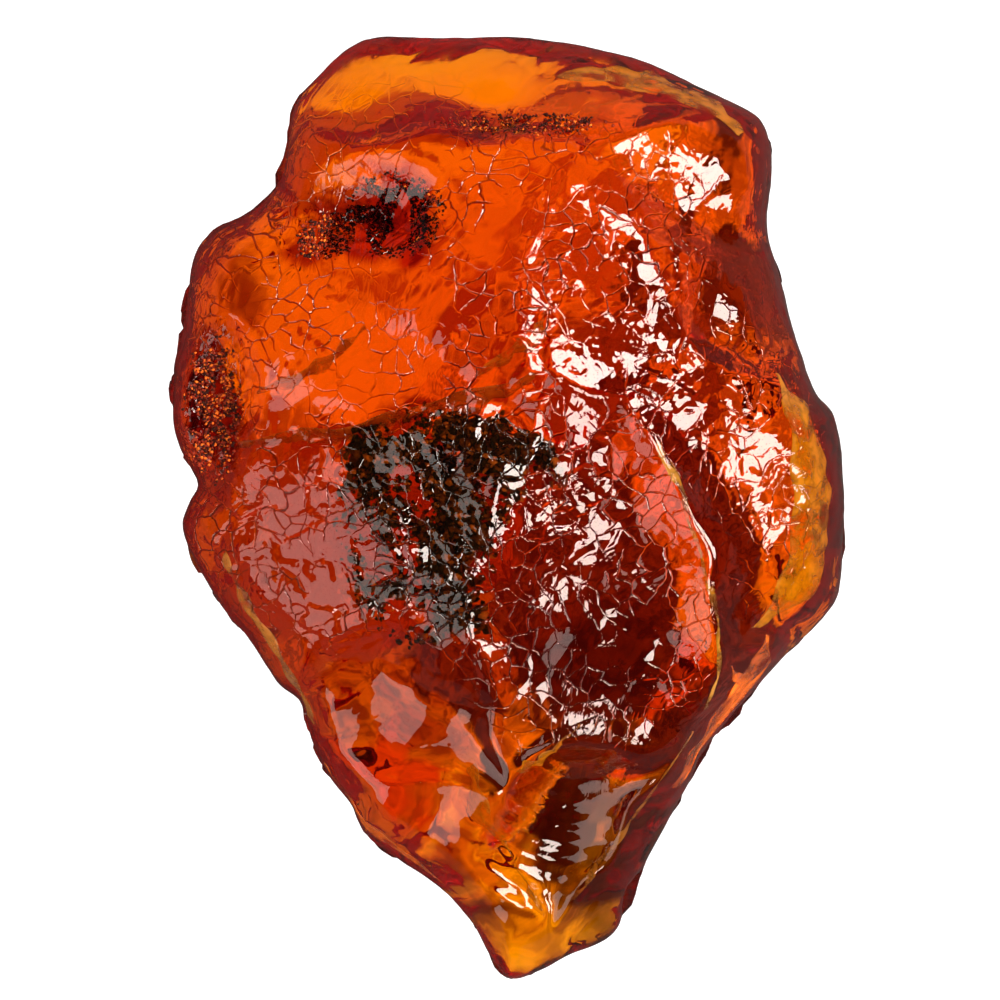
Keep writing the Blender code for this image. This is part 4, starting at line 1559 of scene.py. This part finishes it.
# Softboxes: direction from the stone, distance, width and height, radiance as a share
SOFTBOXES = {
    "right_softbox": ((0.50, 0.42, 0.70), 0.60, (0.27, 0.27), 1.0),
    "low_right_softbox": ((0.70, -0.22, 0.68), 0.60, (0.22, 0.26), 0.9),
    "front_softbox": ((0.20, -0.45, 0.86), 0.60, (0.15, 0.20), 0.8),
    "left_softbox": ((-0.68, -0.50, 0.54), 0.60, (0.62, 0.54), 0.11),
}
SOFTBOX_COLOUR = (1.0, 0.88, 0.80)

# The world's light low down and from this height up, and as mirrored in the stone
WORLD_LOW = 1.0
WORLD_FADE = 0.5
WORLD_HIGH = 0.35
WORLD_MIRRORED = 0.012


def add_softbox(name, direction, distance, size, radiance):
    """An area light of the given radiance, which faces the stone.

    Its power is the radiance times pi times the area.
    """
    light = bpy.data.lights.new(name, "AREA")
    light.shape = "RECTANGLE"
    light.size, light.size_y = size
    light.energy = radiance * math.pi * size[0] * size[1]
    light.color = SOFTBOX_COLOUR
    lamp = bpy.data.objects.new(name, light)
    towards = Vector(direction).normalized()
    lamp.location = towards * distance
    lamp.rotation_euler = towards.to_track_quat("Z", "Y").to_euler()
    lamp.visible_transmission = False
    bpy.context.scene.collection.objects.link(lamp)


def add_floor(settings):
    """A wide white floor that glows evenly, and is dark where the stone mirrors it."""
    corners = np.array([[-1, -1, 0], [1, -1, 0], [1, 1, 0], [-1, 1, 0]], float)
    points = corners * FLOOR_HALF / MM
    points[:, 2] = -FLOOR_DROP / MM
    material, tree, shader, add = new_material("lit_floor")
    shader.inputs["Base Color"].default_value = (0.02, 0.02, 0.02, 1.0)
    shader.inputs["Roughness"].default_value = 0.9
    shader.inputs["Emission Color"].default_value = WHITE
    mirrored = add("LightPath").outputs["Is Reflection Ray"]
    glow = value_range(add, mirrored, 0.0, 1.0, settings.floor_glow, 0.0)
    tree.links.new(glow, shader.inputs["Emission Strength"])
    floor = add_piece("floor", points, np.array([[0, 1, 2], [0, 2, 3]]), [material])


def add_world():
    """A plain white studio, brightest low down, and nearly dark where it is mirrored."""
    world = bpy.data.worlds.new("studio")
    world.use_nodes = True
    tree = world.node_tree
    add = node_adder(tree)
    direction = add("SeparateXYZ", {0: add("TexCoord").outputs["Generated"]})
    fade = value_range(add, direction.outputs["Z"], 0.0, WORLD_FADE, WORLD_LOW, WORLD_HIGH)
    mirrored = add("LightPath").outputs["Is Reflection Ray"]
    strength = value_range(add, mirrored, 0.0, 1.0, fade, WORLD_MIRRORED)
    background = tree.nodes["Background"]
    tree.links.new(strength, background.inputs["Strength"])
    background.inputs["Color"].default_value = WHITE
    bpy.context.scene.world = world


def add_camera(settings):
    """A long lens straight above, with the frame on the height of the stone's rim."""
    camera = bpy.data.objects.new("camera", bpy.data.cameras.new("camera"))
    camera.data.lens = settings.lens
    camera.data.sensor_width = SENSOR / MM
    distance = FRAME_WIDTH * settings.lens * MM / SENSOR
    camera.location = (*FRAME_CENTRE, RIM_PLANE + distance)
    camera.data.clip_start = 0.01
    camera.data.clip_end = 10.0
    bpy.context.scene.collection.objects.link(camera)
    bpy.context.scene.camera = camera


class AMBER_OT_stage(Operator):
    """Build the lit floor, the softboxes, the world and the camera straight above"""

    bl_idname = "amber.stage"
    bl_label = "Stage"

    def execute(self, context):
        scene = context.scene
        settings = scene.amber_nugget
        add_floor(settings)
        for name, (direction, distance, size, share) in SOFTBOXES.items():
            add_softbox(name, direction, distance, size, share * settings.softbox_radiance)
        add_world()
        add_camera(settings)

        # Plain colours, and as many bounces as light needs to cross the stone
        scene.view_settings.view_transform = "Standard"
        scene.view_settings.look = "None"
        scene.cycles.use_denoising = True
        scene.cycles.max_bounces = 6
        scene.cycles.transmission_bounces = 6
        scene.cycles.glossy_bounces = 4
        scene.cycles.diffuse_bounces = 2
        scene.cycles.transparent_max_bounces = 8
        scene.cycles.sample_clamp_indirect = 12.0
        return {"FINISHED"}


class AMBER_PT_nugget(Panel):
    """Lists the nugget's settings and its build steps"""

    bl_label = "Amber nugget"
    bl_idname = "AMBER_PT_nugget"
    bl_space_type = "VIEW_3D"
    bl_region_type = "UI"
    bl_category = "Amber"

    def draw(self, context):
        settings = context.scene.amber_nugget
        for name in AmberSettings.__annotations__:
            self.layout.prop(settings, name)
        for step in STEPS:
            self.layout.operator(step.bl_idname)


STEPS = (
    AMBER_OT_stone,
    AMBER_OT_debris,
    AMBER_OT_crust,
    AMBER_OT_cracks_and_glow_films,
    AMBER_OT_stage,
)
CLASSES = (AmberSettings, *STEPS, AMBER_PT_nugget)


def register():
    for each in CLASSES:
        bpy.utils.register_class(each)
    bpy.types.Scene.amber_nugget = PointerProperty(type=AmberSettings)


def unregister():
    del bpy.types.Scene.amber_nugget
    for each in reversed(CLASSES):
        bpy.utils.unregister_class(each)


def main():
    """Builds the pieces and the stage by their operators."""
    register()
    bpy.ops.amber.stone()
    bpy.ops.amber.debris()
    bpy.ops.amber.crust()
    bpy.ops.amber.inner_cracks()
    bpy.ops.amber.stage()


if __name__ == "__main__":
    main()
